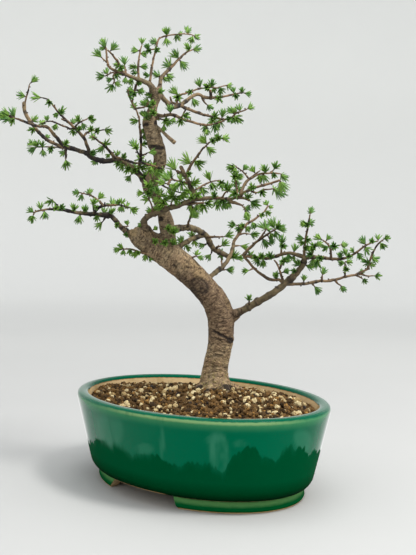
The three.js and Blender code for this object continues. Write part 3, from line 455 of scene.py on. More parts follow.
# A twig to a line: its width at its foot and tip, how far back its tip lies, and its path as x and y. Then the
# tufts as x, y and needle length.
SPRAYS: dict[str, Drawing] = {
    SHOOTS: Drawing.read("""
3.2 1.6 -9  148 252 143 253 131 249 124 249
3 1.8 3  188 262 193 257 196 256
2.6 1.6 -17  145 121 160 119 164 120
3.2 2 -7  147 226 156 237 168 245
""", """
120 246 8  116 250 8  123 253 7  130 252 8  134 255 8  138 253 6  146 257 9  151 260 6  155 242 9  165 243 10
173 243 10  180 245 8  173 232 12  168 229 9  197 253 8  201 258 8  166 121 10  164 129 7  156 228 6  139 230 6
141 224 7  147 117 11  153 113 11  156 118 9  149 106 10  145 101 10  150 96 9  160 92 8  143 113 9  153 104 8
"""),
    "spray_left_limb": Drawing.read("""
7.4 4.4 36  149 192 142 177 125 163 117 160 105 161 98 160 92 157.5 87 153.5 65 146
4.2 1.6 6  90 156 85.5 140 83 136.5 62 116 48 100 42 98
2.2 1.2 6  75 127 79 123 88 118
2.8 1.4 40  84 136 88 132 104 130
4.2 1.6 -6  114 158 108 149 92 136
2.6 1.4 36  72 129 50 121 41 124
4.4 2 20  63 145 48 128 44 126.5 40 126.5 15 118.5
3.4 4.6 58  62 146 45 138 33 125 26 114.5 24.5 110 24 101.5
2 1.4 52  25 103 30 84
2.2 1.2 72  67 148 52 146.5 37 147
3 2 26  66 149 65.5 159
2.4 1.4 8  133 170 131 175
3.2 1.6 -30  114 157.5 120 158 134 163 142 163 163 169
2.6 1.4 -30  143 178 158 183 172 190 181 193
3.2 1.4 -32  137 172 140 162 141 150 139 120 137 113 128 94 128 89
2.2 1.2 -44  135 109 146 106 149 102
2.2 1.2 -22  132 102 136 84
2.8 1.6 -18  140 156 148 153
2.4 1.4 -30  140 156 136 149
2.2 1.6 6  67 121 61.5 119
""", """
35 79 10  20 95 11  35 97 13  49 103 9  62 111 10  56 115 7  47 118 7  35 119 10  42 123 8  55 127 8  32 130 9
12 112 13  12 121 10  4 113 13  5 119 12  1 116 10  78 119 9  91 118 9  93 121 8  73 122 8  73 132 9  84 127 9
79 129 7  91 129 8  97 131 8  93 137 9  108 131 10  107 143 10  101 149 11  108 156 7  66 143 9  47 137 7  30 143 9
31 150 11  36 144 10  42 144 9  43 154 9  51 149 9  63 153 9  66 165 12  93 153 9  95 162 9  117 153 8  124 156 8
118 164 10  122 167 11  128 169 12  134 166 11  143 168 14  150 171 14  157 173 12  145 176 10  153 179 10  128 179 9
140 159 11  146 164 11  153 166 11  161 170 10  134 121 11  133 143 12  136 147 9  146 137 12  143 131 8  153 152 10
143 103 9  131 97 8  134 106 9  130 90 9  134 94 8  142 91 8  145 144 8  184 195 10  135 170 10
""", dark=0.85, mottle=373000),
    "spray_left_low": Drawing.read("""
6.4 4.6 -8  133 235 122 228 111 216 106 215.5
5.8 1.5 -52  109 215.5 75 212.5 60 209.5 35 212 33 215
2.2 1.2 -34  61 209.5 53 200
3.4 1.4 -40  93 214 101 207 120 205 130 208
2.8 1.4 4  104 206 97 199 92 196 80 192
2.8 1.8 -6  106 216 103.5 221
2.8 1.8 -20  95 214 93 206
1.8 1.3 -14  120 227 129 226
2 1.5 -30  105 206 105 202
""", """
30 210 9  32 219 10  40 205 10  45 216 10  50 202 12  56 208 9  62 207 9  74 208 11  85 209 10  79 220 12  97 218 9
98 226 11  76 193 10  81 198 9  89 192 9  94 202 12  101 196 9  104 211 10  112 203 12  112 211 9  118 202 7
122 201 8  121 209 9  127 206 9  134 210 11  117 225 7  127 222 6  126 235 6  96 207 8
""", dark=0.9),
    "spray_front": Drawing.read("""
7.6 2.8 -64  144 235 145 228 144 222 146 218 171 207.5 178 206 190 201 212 198 229 199 237 198 245 198.5 250 201
3.4 2.6 -34  180 205 204 203
2.2 1.3 -26  153 214.5 152 206 149 198 148 188
2.2 1.3 -34  162 211 164 203 158 195
2.2 1.3 -28  171 207 172 201 176 196
5.4 4 -20  197 199 180 166
4 1.4 -42  187 177 188 171 200 152 203 148 212 141
1.6 1.2 -46  211 141.5 222 139
2.4 1.4 -36  189 184 171 180 168 184
4 2.8 -12  185 176 176 171
2.6 1.3 -8  192 192 212 181.5 218 180.5 222 182
2.4 1.4 -58  222 198 226 192 231 191.5
4.6 1.5 -72  229 199 232 202.5 241 205 244 208
2 1.3 -42  238 197 235 177
4 1.6 -36  240 197 242 189 249 179.5 253 177 258 175 272 172.5 280 174
2 1.3 -60  249 179 244 173 235 166
1.8 1.3 -30  271 172 274 169
2 1.4 -44  252 177 260 170.5
3.4 2.4 -92  240 198 243 193 280 180
2.2 1.3 -72  251 191 257 192.5 263 190 273 188.5
2.8 2 -18  168 184 172 178.5
""", """
141 225 8  155 209 12  150 211 9  160 207 10  163 203 12  148 185 12  152 188 12  149 193 12  157 190 11  161 195 12
146 199 11  139 193 9  167 199 14  171 195 14  176 200 12  181 198 11  186 160 17  199 164 16  189 174 8  172 165 17
165 177 17  160 182 11  170 174 11  202 139 13  211 151 13  218 138 12  226 138 11  213 141 9  181 185 15  176 187 12
186 192 13  181 178 10  195 183 14  203 191 13  198 195 10  208 175 12  213 187 12  221 184 12  227 187 14  203 208 14
209 203 13  217 205 16  223 203 14  197 208 10  190 207 9  194 214 13  214 195 10  247 209 12  247 216 10  234 194 13
238 189 12  236 183 11  235 176 13  240 177 10  228 187 12  255 204 14  248 196 11  246 167 8  252 169 9  265 169 12
264 179 13  276 166 11  274 175 8  284 177 12  231 167 12  234 171 9  282 187 17  281 194 17  275 190 12  262 193 10
252 187 10  260 178 9  228 205 12  157 200 11  191 197 11  172 187 10
""", dark=0.3),
    "spray_middle": Drawing.read("""
7.4 5.4 46  168 231 180 228 191 228 201 232 206 236 213 248 231 258
4.6 6.4 8  204 235 191 239.5 173 251
3.4 1.4 8  206 237 224 236.5
3 1.5 22  216 250 217 247 221 246
2.4 1.6 46  212 248 211 253
3 2 -8  187 228 190.5 218
""", """
192 234 10  181 240 10  195 243 9  201 246 9  187 248 9  230 235 12  225 243 12  208 258 9  221 255 9  235 256 12
241 258 9  192 210 10  196 214 12
""", dark=0.35),
    "spray_back": Drawing.read("""
5.8 1.6 74  208 279 228 260 235 240 241 231 246 225 263 213 268 206
2.2 1.4 44  238 235 246 233.5 250 234
2.4 1.4 48  234 246 240 246
2 1.4 66  241 231 239 226 236 225
2.6 1.8 40  219 267 221 269.5 225 269.5
2.4 1.6 52  222 265 221 257
""", """
266 203 7  271 207 6  268 213 8  262 215 7  247 217 10  254 226 9  242 226 8  232 225 10  248 229 9  255 235 11
246 247 11  231 270 11  221 253 10  238 229 8
""", dark=0.3),
    "spray_right_limb": Drawing.read("""
8.8 6.2 -6  222 318 232 315 260 301 285 284 301 267 304 261 305 256
3.4 2.6 14  283 283 279 280 274 280 262 275 243 256
3 1.6 20  284 283 277 264 274 260
4.2 2.8 14  304 257 289 253 268 258 243 256
3.8 1.8 2  243 256 249 249 261 238.5 276 229
3 1.6 -6  260 239 266 230
3.4 1.5 -26  304 257 304.5 245 310 214
4.4 1.5 -48  305 258 312 257 332 259 346 258 367 245 373 242 378 241
3 1.6 -36  331 259 331 254 328 244 323 240
2 1.3 -20  331 250 335 246.5 341 245
2.2 1.3 -4  312 257 313 250 316 244
3.8 2.4 42  286 284 305 283.5 320 281 335 280 348 276 355 275 368 269
2.4 1.4 12  345 277 345 262
2.2 1.4 44  356 275 363 279
2.2 1.4 52  359 274 366 276 374 276
3 1.4 24  368 269 369 262 372 255 379 243 384 239
2.4 1.8 -2  249 306 249 301
2.8 1.6 -4  281 255 281.5 245
2.8 1.8 4  322 281 322.5 276
2.8 1.6 22  335 280 338 284 341 286
2.8 1.8 16  311 282 314 286
2.6 1.8 -10  280 268 281 265 284 262
2.4 1.8 -2  256 269 253 268.5 250 270
""", """
249 298 8  276 275 9  287 271 8  294 271 7  304 277 8  257 262 11  263 264 10  245 271 9  250 254 9  283 261 9
287 260 9  262 256 10  270 256 11  255 258 9  297 263 10  293 259 8  282 239 12  277 235 11  283 246 10  272 236 9
266 244 13  272 242 9  311 211 9  303 224 9  311 223 9  307 225 8  299 238 10  308 240 9  302 243 8  295 247 10
307 248 9  310 254 10  317 237 10  314 246 10  320 244 10  325 248 9  329 237 8  334 246 11  344 245 9  312 249 9
313 262 11  317 264 14  311 267 11  320 258 9  324 271 10  345 251 9  340 255 9  349 256 8  341 263 9  350 262 9
346 269 8  318 291 11  343 289 10  362 240 11  372 241 8  378 237 8  387 238 9  383 246 10  367 250 12  360 257 10
375 259 11  366 262 12  372 265 8  378 276 9  365 281 8  362 272 7  264 226 14  271 222 14  279 226 13  268 228 10
283 229 11  352 250 7  289 257 7
""", dark=0.25),
    "spray_crown_left": Drawing.read("""
6.4 2.6 -50  154 93 152 87.5 147 83 141 80 115 71 107 65
3 1.5 -30  126 75 125 66
3.4 1.8 -66  123 73 118 62 108 50
2.6 2 -46  108 65 106 48
2.4 1.4 -38  118 72 113 76 114 80 113 84
2.8 1.4 -12  139 79 138 73 139 58 142 45
2.8 1.3 6  149 84 156 48 160 38 190 34.5 194 36
2 1.4 -30  107 62 102 58
2.4 1.6 -10  138 80 136 85 136 89
2 1.4 -24  114 73 105 76
2 1.4 -10  156 49 147 50
""", """
124 60 11  103 42 11  97 53 13  115 46 12  106 71 9  117 65 9  100 76 11  111 88 12  118 84 9  117 76 9  133 67 11
134 73 8  125 81 8  131 82 10  139 83 8  142 40 9  147 46 8  144 54 8  134 50 9  145 67 9  146 75 9  154 42 10
149 51 8  157 50 8  166 31 11  167 43 11  177 38 9  180 34 7  188 30 10  191 40 9  197 37 9  131 93 10  141 92 9
121 68 9  103 48 8  109 80 8
""", dark=0.2),
    "spray_crown_top": Drawing.read("""
5.2 1.6 34  157 93 160 86.5 161 80 164 75 187 52.5 193 50
""", """
188 47 11  197 49 11  175 54 13  184 66 13  168 64 14  170 77 11  156 74 11  165 79 8
"""),
    "spray_crown_right": Drawing.read("""
6 1.5 30  154 93 157 92 173 107 180 105 192 97 198 94.5 203 97 210 98 243 93
3.8 2.4 4  211 98 210 90
2.8 1.6 26  202 98 203 101 207 104.5
2.6 1.4 56  177 105 177 97 184 94 203 88 220 87 226 85.5
3.8 1.5 -38  180 105 185 108 228 119 237 113 247 109
3.4 2 20  177 105 172 102 170 97
""", """
249 94 8  242 90 7  236 96 9  219 99 10  221 91 11  207 87 11  212 83 10  214 90 8  210 107 9  195 103 11  199 82 11
229 86 9  233 89 8  190 92 8  173 90 12  178 97 11  213 121 13  219 124 13  223 112 11  230 110 10  239 107 9
234 111 9  251 107 9  238 119 13  233 120 9  215 115 9
""", dark=0.35),
    "spray_crown_low": Drawing.read("""
4.4 1.5 -58  152 114 158 116 165 116 171 114.5 186 120 208 125 220 122 229 118
2.6 1.6 -40  181 118 186 109
""", """
180 122 11  186 116 10  168 123 11  205 128 10  215 128 12  207 133 9  229 119 9  170 108 10  173 121 8
"""),
}


# ---- finishes


class Tone:
    """A number that varies over a surface, held as a shader socket so that maths on it reads as Python."""

    def __init__(self, recipe: Recipe, socket: NodeSocket) -> None:
        """Keeps the socket and the recipe that its next nodes join."""
        self.recipe = recipe
        self.socket = socket

    def __add__(self, other: Tone | float) -> Tone:
        """Sum."""
        return self.recipe.maths("ADD", self, other)

    def __sub__(self, other: Tone | float) -> Tone:
        """Difference."""
        return self.recipe.maths("SUBTRACT", self, other)

    def __rsub__(self, other: float) -> Tone:
        """Difference, the other way round."""
        return self.recipe.maths("SUBTRACT", other, self)

    def __mul__(self, other: Tone | float) -> Tone:
        """Product."""
        return self.recipe.maths("MULTIPLY", self, other)

    __radd__ = __add__
    __rmul__ = __mul__

    def step(self, low: float, high: float) -> Tone:
        """A smooth step, t * t * (3 - 2 * t).

        Args:
            low: Where it is 0.
            high: Where it is 1, above low or below it.

        Returns:
            The step.
        """
        flipped = low > high
        bounds = {"Value": self, "From Min": min(low, high), "From Max": max(low, high)}
        ends = {"To Min": float(flipped), "To Max": float(not flipped)}
        node = self.recipe.node("MapRange", {"interpolation_type": "SMOOTHSTEP"}, bounds | ends)
        return Tone(self.recipe, node.outputs["Result"])


class Recipe:
    """The node tree of one finish."""

    def __init__(self, name: str) -> None:
        """Makes the material and empties its node tree.

        Args:
            name: The finish's name.
        """
        self.material = bpy.data.materials.new(name)
        self.material.use_nodes = True
        self.tree = self.material.node_tree
        self.tree.nodes.clear()

    def put(self, socket: NodeSocket, value: object) -> None:
        """Links a socket or sets its own value.

        Args:
            socket: The socket.
            value: A Tone or a socket to link it to, or a plain value.
        """
        if isinstance(value, Tone):
            value = value.socket
        if isinstance(value, NodeSocket):
            self.tree.links.new(value, socket)
        else:
            socket.default_value = value

    def node(self, kind: str, settings: Mapping | None = None, inputs: Mapping | None = None) -> Node:
        """Adds a node: its settings first, then its sockets.

        Args:
            kind: The node's type, without the ShaderNode before it.
            settings: Its properties; "stops" fills a colour ramp with positions and colours.
            inputs: Values or links, by socket name or number.

        Returns:
            The node.
        """
        made = self.tree.nodes.new(f"ShaderNode{kind}")
        for key, value in (settings or {}).items():
            if key == "stops":
                ramp = made.color_ramp.elements
                while len(ramp) < len(value):
                    ramp.new(0.5)
                for element, (position, colour) in zip(ramp, value):
                    element.position, element.color = position, colour
            else:
                setattr(made, key, value)
        for key, value in (inputs or {}).items():
            self.put(made.inputs[key], value)
        return made

    def maths(self, operation: str, first: Tone | float, second: Tone | float) -> Tone:
        """One sum on two numbers."""
        node = self.node("Math", {"operation": operation}, {0: first, 1: second})
        return Tone(self, node.outputs[0])

    def here(self) -> NodeSocket:
        """The place on the object."""
        return self.node("TexCoord").outputs["Object"]

    def height(self) -> Tone:
        """How high the place on the object is, in metres."""
        node = self.node("SeparateXYZ", inputs={0: self.here()})
        return Tone(self, node.outputs["Z"])

    def reach(self) -> Tone:
        """How far the place on the object is from the origin, in metres."""
        node = self.node("VectorMath", {"operation": "LENGTH"}, {0: self.here()})
        return Tone(self, node.outputs["Value"])

    def value(self, name: str) -> Tone:
        """A number that the mesh carries at its points."""
        node = self.node("Attribute", {"attribute_name": name})
        return Tone(self, node.outputs["Fac"])

    def vector(self, name: str) -> NodeSocket:
        """A vector that the mesh carries at its points."""
        return self.node("Attribute", {"attribute_name": name}).outputs["Vector"]

    def stretched(self, where: NodeSocket, scale: Triple) -> NodeSocket:
        """A place with each of its coordinates multiplied."""
        return self.node("VectorMath", {"operation": "MULTIPLY"}, {0: where, 1: scale}).outputs[0]

    def noise(self, where: NodeSocket, scale: float, detail: float = 3, distortion: float = 0) -> Tone:
        """Clouds from 0 to 1, scale of them to a metre, with layers of finer detail, stirred by the distortion."""
        inputs = {"Vector": where, "Scale": scale, "Detail": detail, "Distortion": distortion}
        return Tone(self, self.node("TexNoise", inputs=inputs).outputs[0])

    def cells(self, where: NodeSocket, scale: float) -> Tone:
        """Distance to the nearest middle of random cells, in cells, with scale cells to a metre."""
        node = self.node("TexVoronoi", inputs={"Vector": where, "Scale": scale})
        return Tone(self, node.outputs["Distance"])

    def grazing(self, blend: float) -> Tone:
        """How far the surface turns away from the eye, from 0 to 1."""
        return Tone(self, self.node("LayerWeight", inputs={"Blend": blend}).outputs["Facing"])

    def ramp(self, tone: Tone, stops: Sequence[tuple[float, Colour]]) -> NodeSocket:
        """A colour for each number, blended between stops."""
        return self.node("ValToRGB", {"stops": stops}, {"Fac": tone}).outputs["Color"]

    def mixed(self, share: Tone | float, first: object, second: object) -> NodeSocket:
        """Two colours, or links to them, mixed: a share of 0 gives the first and 1 the second."""
        settings = {"data_type": "RGBA", "clamp_factor": True}
        return self.node("Mix", settings, {0: share, 6: first, 7: second}).outputs[2]

    def coated(self, colour: object, *coats: tuple[Tone | float, object]) -> NodeSocket:
        """Lays colours over one another.

        Args:
            colour: The lowest colour, or a link to it.
            coats: The share that each coat covers, and its colour, from the lowest up.

        Returns:
            The colour that shows.
        """
        for share, coat in coats:
            colour = self.mixed(share, colour, coat)
        return colour

    def bump(self, height: Tone, distance: float) -> NodeSocket:
        """A normal that leans with a height from 0 to 1, of which 1 rises the distance, in metres."""
        inputs = {"Height": height, "Distance": distance, "Strength": 1.0}
        return self.node("Bump", inputs=inputs).outputs["Normal"]

    def surface(self, **inputs: object) -> Material:
        """Ends the recipe in a surface shader.

        Args:
            inputs: The shader's sockets, with _ for each space of their names.

        Returns:
            The material.
        """
        named = {name.replace("_", " "): value for name, value in inputs.items()}
        shader = self.node("BsdfPrincipled", inputs=named)
        self.node("OutputMaterial", inputs={"Surface": shader.outputs[0]})
        return self.material


@dataclass(frozen=True)
class GlazedClay:
    """Green glaze that breaks pale over edges, on tan stoneware that shows where it ends, with painted reflections,
    painted shade and a painted highlight in its colours.
    """

    # Painted reflections: the deep green below a drawn line stands for a dark ground reflected in the glaze, and the
    # teal wall colour above it for bright surroundings.
    pool: Colour = paint(0, 74, 42)
    wall: Colour = paint(0, 98, 68)
    # Painted shade in the recess above the foot.
    shade: Colour = paint(0, 22, 6)
    # Pale colour of pinholes in the glaze, and of the painted reflected patches.
    milky_and_reflected: Colour = paint(60, 132, 104)
    broken: Colour = paint(112, 146, 98)
    rim: Colour = paint(0, 82, 58)
    # The foot's upper half: thin glaze and a painted highlight.
    foot: Colour = paint(84, 136, 80)
    clay: Colour = paint(196, 170, 130)
    clay_sandy: Colour = paint(194, 168, 126)
    clay_dark: Colour = paint(164, 138, 92)
    clay_specks: Colour = paint(140, 112, 76)
    burn: Colour = paint(140, 96, 54)
    # Colours by height. The foot is lighter on its upper half, from thin glaze and a painted highlight, and darker on
    # its lower half. From 0.122 to 0.22 is painted shade in the recess above the foot.
    bands: tuple[tuple[float, Colour], ...] = (
        (0.0, paint(2, 70, 32)), (0.055, paint(2, 84, 40)), (0.088, foot), (0.108, foot), (0.122, shade),
        (0.16, paint(0, 36, 14)), (0.22, paint(0, 58, 28)), (0.34, pool), (0.80, pool), (0.875, paint(12, 100, 70)),
        (0.93, paint(48, 118, 80)), (0.958, paint(66, 128, 86)), (0.98, rim), (1.0, rim),
    )
    pot_height: float = 0.0894
    relief: float = 0.0005

    def material(self) -> Material:
        """Makes it: bands of colour up the wall, with painted shade and a painted highlight by the foot, stirred and
        streaked by clouds, over clay.

        Values on the mesh say where the glaze, the painted dark reflection, the painted reflected patches, the worn
        band and the inside show.

        Returns:
            The material.
        """
        mix = Recipe("glazed_clay")
        here, up = mix.here(), mix.height() * (1 / self.pot_height)
        level = up + (mix.noise(here, 210, 3) - 0.5) * 0.012 + mix.value("inside") * 0.1
        # Clouds that wobble the edge of the painted dark reflection.
        runs = mix.noise(mix.stretched(here, (1, 1, 0.16)), 170, 4)
        rise = up - (mix.value("pool") + (runs - 0.5) * 0.2)
        blurred = mix.noise(mix.stretched(here, (1, 1, 0.3)), 28, 2).step(0.45, 0.62)
        # Above that edge the painted teal reflection covers the painted dark reflection, and it fades out below the
        # rim.
        above = rise.step(-0.016, 0.016) * (1 - blurred) + rise.step(-0.09, 0.05) * blurred
        body = above * level.step(0.93, 0.82)
        # Painted reflections: pale patches where the wall faces the eye.
        reflected_patches = mix.noise(mix.stretched(here, (1, 1, 0.2)), 60, 3, 0.4).step(0.26, 0.56) * mix.value("veil")
        worn = level.step(0.94, 0.962) * level.step(0.984, 0.97) * mix.value("worn")
        streaks = mix.noise(mix.stretched(here, (1, 1, 0.1)), 190, 3).step(0.56, 0.8)
        pores = mix.cells(here, 900).step(0.12, 0.04) * mix.noise(here, 120, 2).step(0.55, 0.7)
        glaze = mix.coated(
            mix.ramp(level, self.bands),
            (body, self.wall),
            (reflected_patches * body, self.milky_and_reflected),
            (worn, self.broken),
            (streaks * level.step(0.9, 0.96) * 0.4, self.rim),
            (pores * 0.35, self.milky_and_reflected),
        )
        sand = mix.noise(here, 2400, 2)
        clay = mix.coated(
            self.clay,
            (sand.step(0.3, 0.7), self.clay_sandy),
            (mix.noise(here, 90, 4).step(0.45, 0.7) * 0.7, self.clay_dark),
            (mix.cells(here, 700).step(0.2, 0.06) * 0.5, self.clay_specks),
        )
        edge = mix.value("glazed") + (mix.noise(here, 320, 3) - 0.5) * 0.4
        covered = edge.step(0.42, 0.58)
        burnt = edge.step(0.2, 0.45) * edge.step(0.62, 0.5)
        relief = covered * (mix.noise(here, 55, 2) * 0.5) + (1 - covered) * (sand * 0.25)
        turned = mix.grazing(0.5)
        sheen = turned * turned * (0.06 + above * 1.9) * (1 - level.step(0.955, 0.985) * 0.2)
        return mix.surface(
            Base_Color=mix.coated(clay, (covered, glaze), (burnt * 0.75, self.burn)),
            Roughness=0.86 - covered * 0.4,
            Specular_IOR_Level=0.0,
            Coat_Weight=covered * sheen,
            Coat_Roughness=0.05,
            Normal=mix.bump(relief, self.relief),
        )


@dataclass(frozen=True)
class Bark:
    """Grey-brown larch bark: fine wrinkles across the limb, tan flakes, dark scarred spots, lichen near the soil, and
    painted shade and highlights.
    """

    brown: Colour = paint(148, 123, 96)
    tan: Colour = paint(200, 173, 132)
    grey: Colour = paint(162, 143, 114)
    dusk: Colour = paint(114, 93, 76)
    aged: Colour = paint(98, 90, 76)
    fissure: Colour = paint(56, 43, 34)
    # Dark colour of scarred wood and knots, and of painted shade.
    scar: Colour = paint(34, 30, 31)
    lichen: Colour = paint(142, 132, 76)
    # Pale colour of cut wood, and of painted highlights.
    pared_and_highlight: Colour = paint(176, 150, 110)
    plate: Colour = paint(190, 168, 132)
    crumb: Colour = paint(92, 74, 56)
    soil_line: float = 0.092
    relief: float = 0.0016

    def material(self) -> Material:
        """Makes it: clouds in the limb's own straightened coordinates; values on the mesh give its dark marks with
        painted shade, its pale cut wood with painted highlights, and its dips.

        Returns:
            The material.
        """
        mix = Recipe("larch_bark")
        grain, up = mix.vector("grain"), mix.height()
        broad = mix.noise(grain, 90, 4)
        flakes = mix.noise(mix.stretched(grain, (1.9, 1, 1)), 330, 4, 0.4)
        wrinkles = mix.noise(mix.stretched(grain, (6, 1, 1)), 120, 3, 0.5)
        crumbs = mix.noise(grain, 1500, 3)
        plates = mix.cells(mix.stretched(grain, (1.7, 1, 1)), 430)
        patchy = mix.noise(grain, 210, 3)
        dusky = up.step(0.128, 0.150) * up.step(0.226, 0.2)
        upper = up.step(0.205, 0.25)
        low = up.step(self.soil_line + 0.052, self.soil_line + 0.004)
        colour = mix.coated(
            self.brown,
            (broad.step(0.32, 0.66), self.grey),
            (dusky * 0.8, self.dusk),
            (upper * 0.55, self.aged),
            (flakes.step(0.5, 0.68) * (0.8 - dusky * 0.35 - upper * 0.25), self.tan),
            (mix.value("pale"), self.pared_and_highlight),
            (plates.step(0.42, 0.7) * patchy.step(0.42, 0.6) * 0.75, self.fissure),
            (plates.step(0.28, 0.08) * patchy.step(0.5, 0.66) * 0.5, self.plate),
            (wrinkles.step(0.48, 0.36) * (up.step(0.235, 0.19) * 0.5 + 0.22), self.fissure),
            (flakes.step(0.43, 0.3) * 0.85, self.fissure),
            (mix.noise(grain, 420, 3).step(0.54, 0.66) * low * 0.7, self.lichen),
            (crumbs.step(0.35, 0.75) * 0.3, self.crumb),
            (mix.value("dip") * 0.7, self.fissure),
            (mix.value("scar"), self.scar),
        )
        height = flakes * 0.45 + wrinkles * 0.35 + crumbs * 0.15 + (1 - plates) * 0.3
        normal = mix.bump(height, self.relief)
        return mix.surface(Base_Color=colour, Roughness=0.9, Specular_IOR_Level=0.2, Normal=normal)


@dataclass(frozen=True)
class Twigs:
    """Bark of branches and twigs: grey-brown where they are thick and old, reddish tan on last year's growth."""

    old: Colour = paint(116, 103, 76)
    young: Colour = paint(124, 98, 70)
    # Dark colour of nodes, spurs and blots, and of the painted shade under twigs.
    node: Colour = paint(30, 26, 28)
    flake: Colour = paint(156, 128, 98)
    stain: Colour = paint(58, 46, 42)
    dust: Colour = paint(70, 56, 46)
    relief: float = 0.0005

    def material(self) -> Material:
        """Makes it: the value "age" picks the wood's colour, and "ring" darkens its nodes, spurs and blots and paints
        shade on the undersides of twigs.

        Returns:
            The material.
        """
        mix = Recipe("twig_bark")
        clouds, fine = mix.noise(mix.here(), 260, 4), mix.noise(mix.here(), 1300, 3)
        colour = mix.coated(
            self.young,
            (mix.value("age"), self.old),
            (clouds.step(0.52, 0.72) * 0.55, self.flake),
            (clouds.step(0.46, 0.30) * 0.8, self.stain),
            (mix.value("ring"), self.node),
            (fine.step(0.5, 0.8) * 0.35, self.dust),
        )
        normal = mix.bump(clouds * 0.6 + fine * 0.4, self.relief)
        return mix.surface(Base_Color=colour, Roughness=0.82, Specular_IOR_Level=0.35, Normal=normal)


@dataclass(frozen=True)
class Needles:
    """Soft young larch needles, yellow-green where they join the spur and deeper at their tips."""

    root: Colour = paint(122, 142, 52)
    fresh: Colour = paint(120, 158, 58)
    deep: Colour = paint(67, 112, 47)
    end: Colour = paint(66, 120, 56)

    def material(self) -> Material:
        """Makes it: the value "tint" tells tufts apart, and "tip" runs from 0 at a needle's root to 1 at its tip.

        Returns:
            The material.
        """
        mix = Recipe("larch_needles")
        tip, clouds = mix.value("tip"), mix.noise(mix.here(), 900, 2)
        colour = mix.coated(
            self.deep,
            ((mix.value("tint") + (clouds - 0.5) * 0.5).step(0.0, 1.0), self.fresh),
            (tip.step(0.35, 0.0) * 0.5, self.root),
            (tip.step(0.75, 1.0) * 0.25, self.end),
        )
        return mix.surface(Base_Color=colour, Roughness=0.5, Specular_IOR_Level=0.4)


@dataclass(frozen=True)
class Grit:
    """One kind of soil grain: two colours that the grains range between, and a third on their pitted spots.

    Its places lie a spacing apart, a share of them is taken, and widths are the least and the greatest, in
    millimetres. draws picks the random numbers.
    """

    name: str
    light: Colour
    dark: Colour
    spots: Colour
    spacing: float
    widths: Pair
    share: float
    draws: int
    relief: float = 0.0009

    def material(self) -> Material:
        """Makes it: the value "tint" picks each grain's colour; fine pits darken and dent it.

        Returns:
            The material.
        """
        mix = Recipe(self.name)
        pits = mix.noise(mix.here(), 900, 4)
        colour = mix.coated(self.dark, (mix.value("tint"), self.light), (pits.step(0.5, 0.34) * 0.8, self.spots))
        normal = mix.bump(pits, self.relief)
        return mix.surface(Base_Color=colour, Roughness=0.92, Specular_IOR_Level=0.25, Normal=normal)


class Grains(Enum):
    """The kinds of grain in the soil mix."""

    PUMICE = Grit(
        "grit_pumice", paint(222, 206, 162), paint(150, 124, 78), paint(98, 72, 38), 5.8, (2.4, 8.4), 0.42, 11
    )
    AKADAMA = Grit(
        "grit_akadama", paint(158, 118, 62), paint(100, 72, 36), paint(60, 40, 18), 5.4, (2.2, 6.4), 0.32, 12
    )
    LOAM = Grit("grit_loam", paint(116, 87, 49), paint(48, 34, 17), paint(32, 23, 11), 4.3, (2.4, 7.6), 0.82, 13)
    LAVA = Grit("grit_lava", paint(62, 54, 48), paint(34, 28, 26), paint(20, 16, 16), 7.0, (2.0, 5.6), 0.20, 14)


@dataclass(frozen=True)
class BlackPlastic:
    """Matte black moulded plastic."""

    colour: Colour = paint(30, 30, 31)
    scuffed: Colour = paint(48, 48, 50)
    relief: float = 0.0001

    def material(self) -> Material:
        """Makes it, with a faint mottle from the mould in colour and relief.

        Returns:
            The material.
        """
        mix = Recipe("black_plastic")
        mottle = mix.noise(mix.here(), 700, 3)
        colour = mix.mixed(mottle.step(0.4, 0.8) * 0.5, self.colour, self.scuffed)
        return mix.surface(Base_Color=colour, Roughness=0.55, Normal=mix.bump(mottle, self.relief))


@dataclass(frozen=True)
class PaleFloor:
    """The studio's plain pale ground."""

    near: Colour = paint(172, 173, 173)
    ground: Colour = paint(192, 193, 192)
    wall: Colour = paint(226, 227, 225)
    cloudy: Colour = paint(206, 206, 205)
    unlit: Colour = paint(0, 0, 0)
    lit: Colour = paint(254, 255, 253)
    glow: float = 0.24
    glow_lost: float = 0.58

    def material(self) -> Material:
        """Makes it: a pale grey ground that lightens up the wall, with the faintest mottle, and a painted glow that
        brightens the far floor and, less, the wall.

        Returns:
            The material.
        """
        mix = Recipe("pale_floor")
        away, up = mix.reach(), mix.height()
        colour = mix.coated(
            self.near,
            (away.step(0.3, 1.3), self.ground),
            (up.step(0.0, 1.2), self.wall),
            (mix.noise(mix.here(), 3, 2) * 0.2, self.cloudy),
        )
        level = away.step(0.9, 3.0) * self.glow - up.step(0.1, 1.0) * self.glow * self.glow_lost
        glow = mix.mixed(level, self.unlit, self.lit)
        return mix.surface(Base_Color=colour, Roughness=0.8, Emission_Color=glow, Emission_Strength=1.0)


# ---- pot


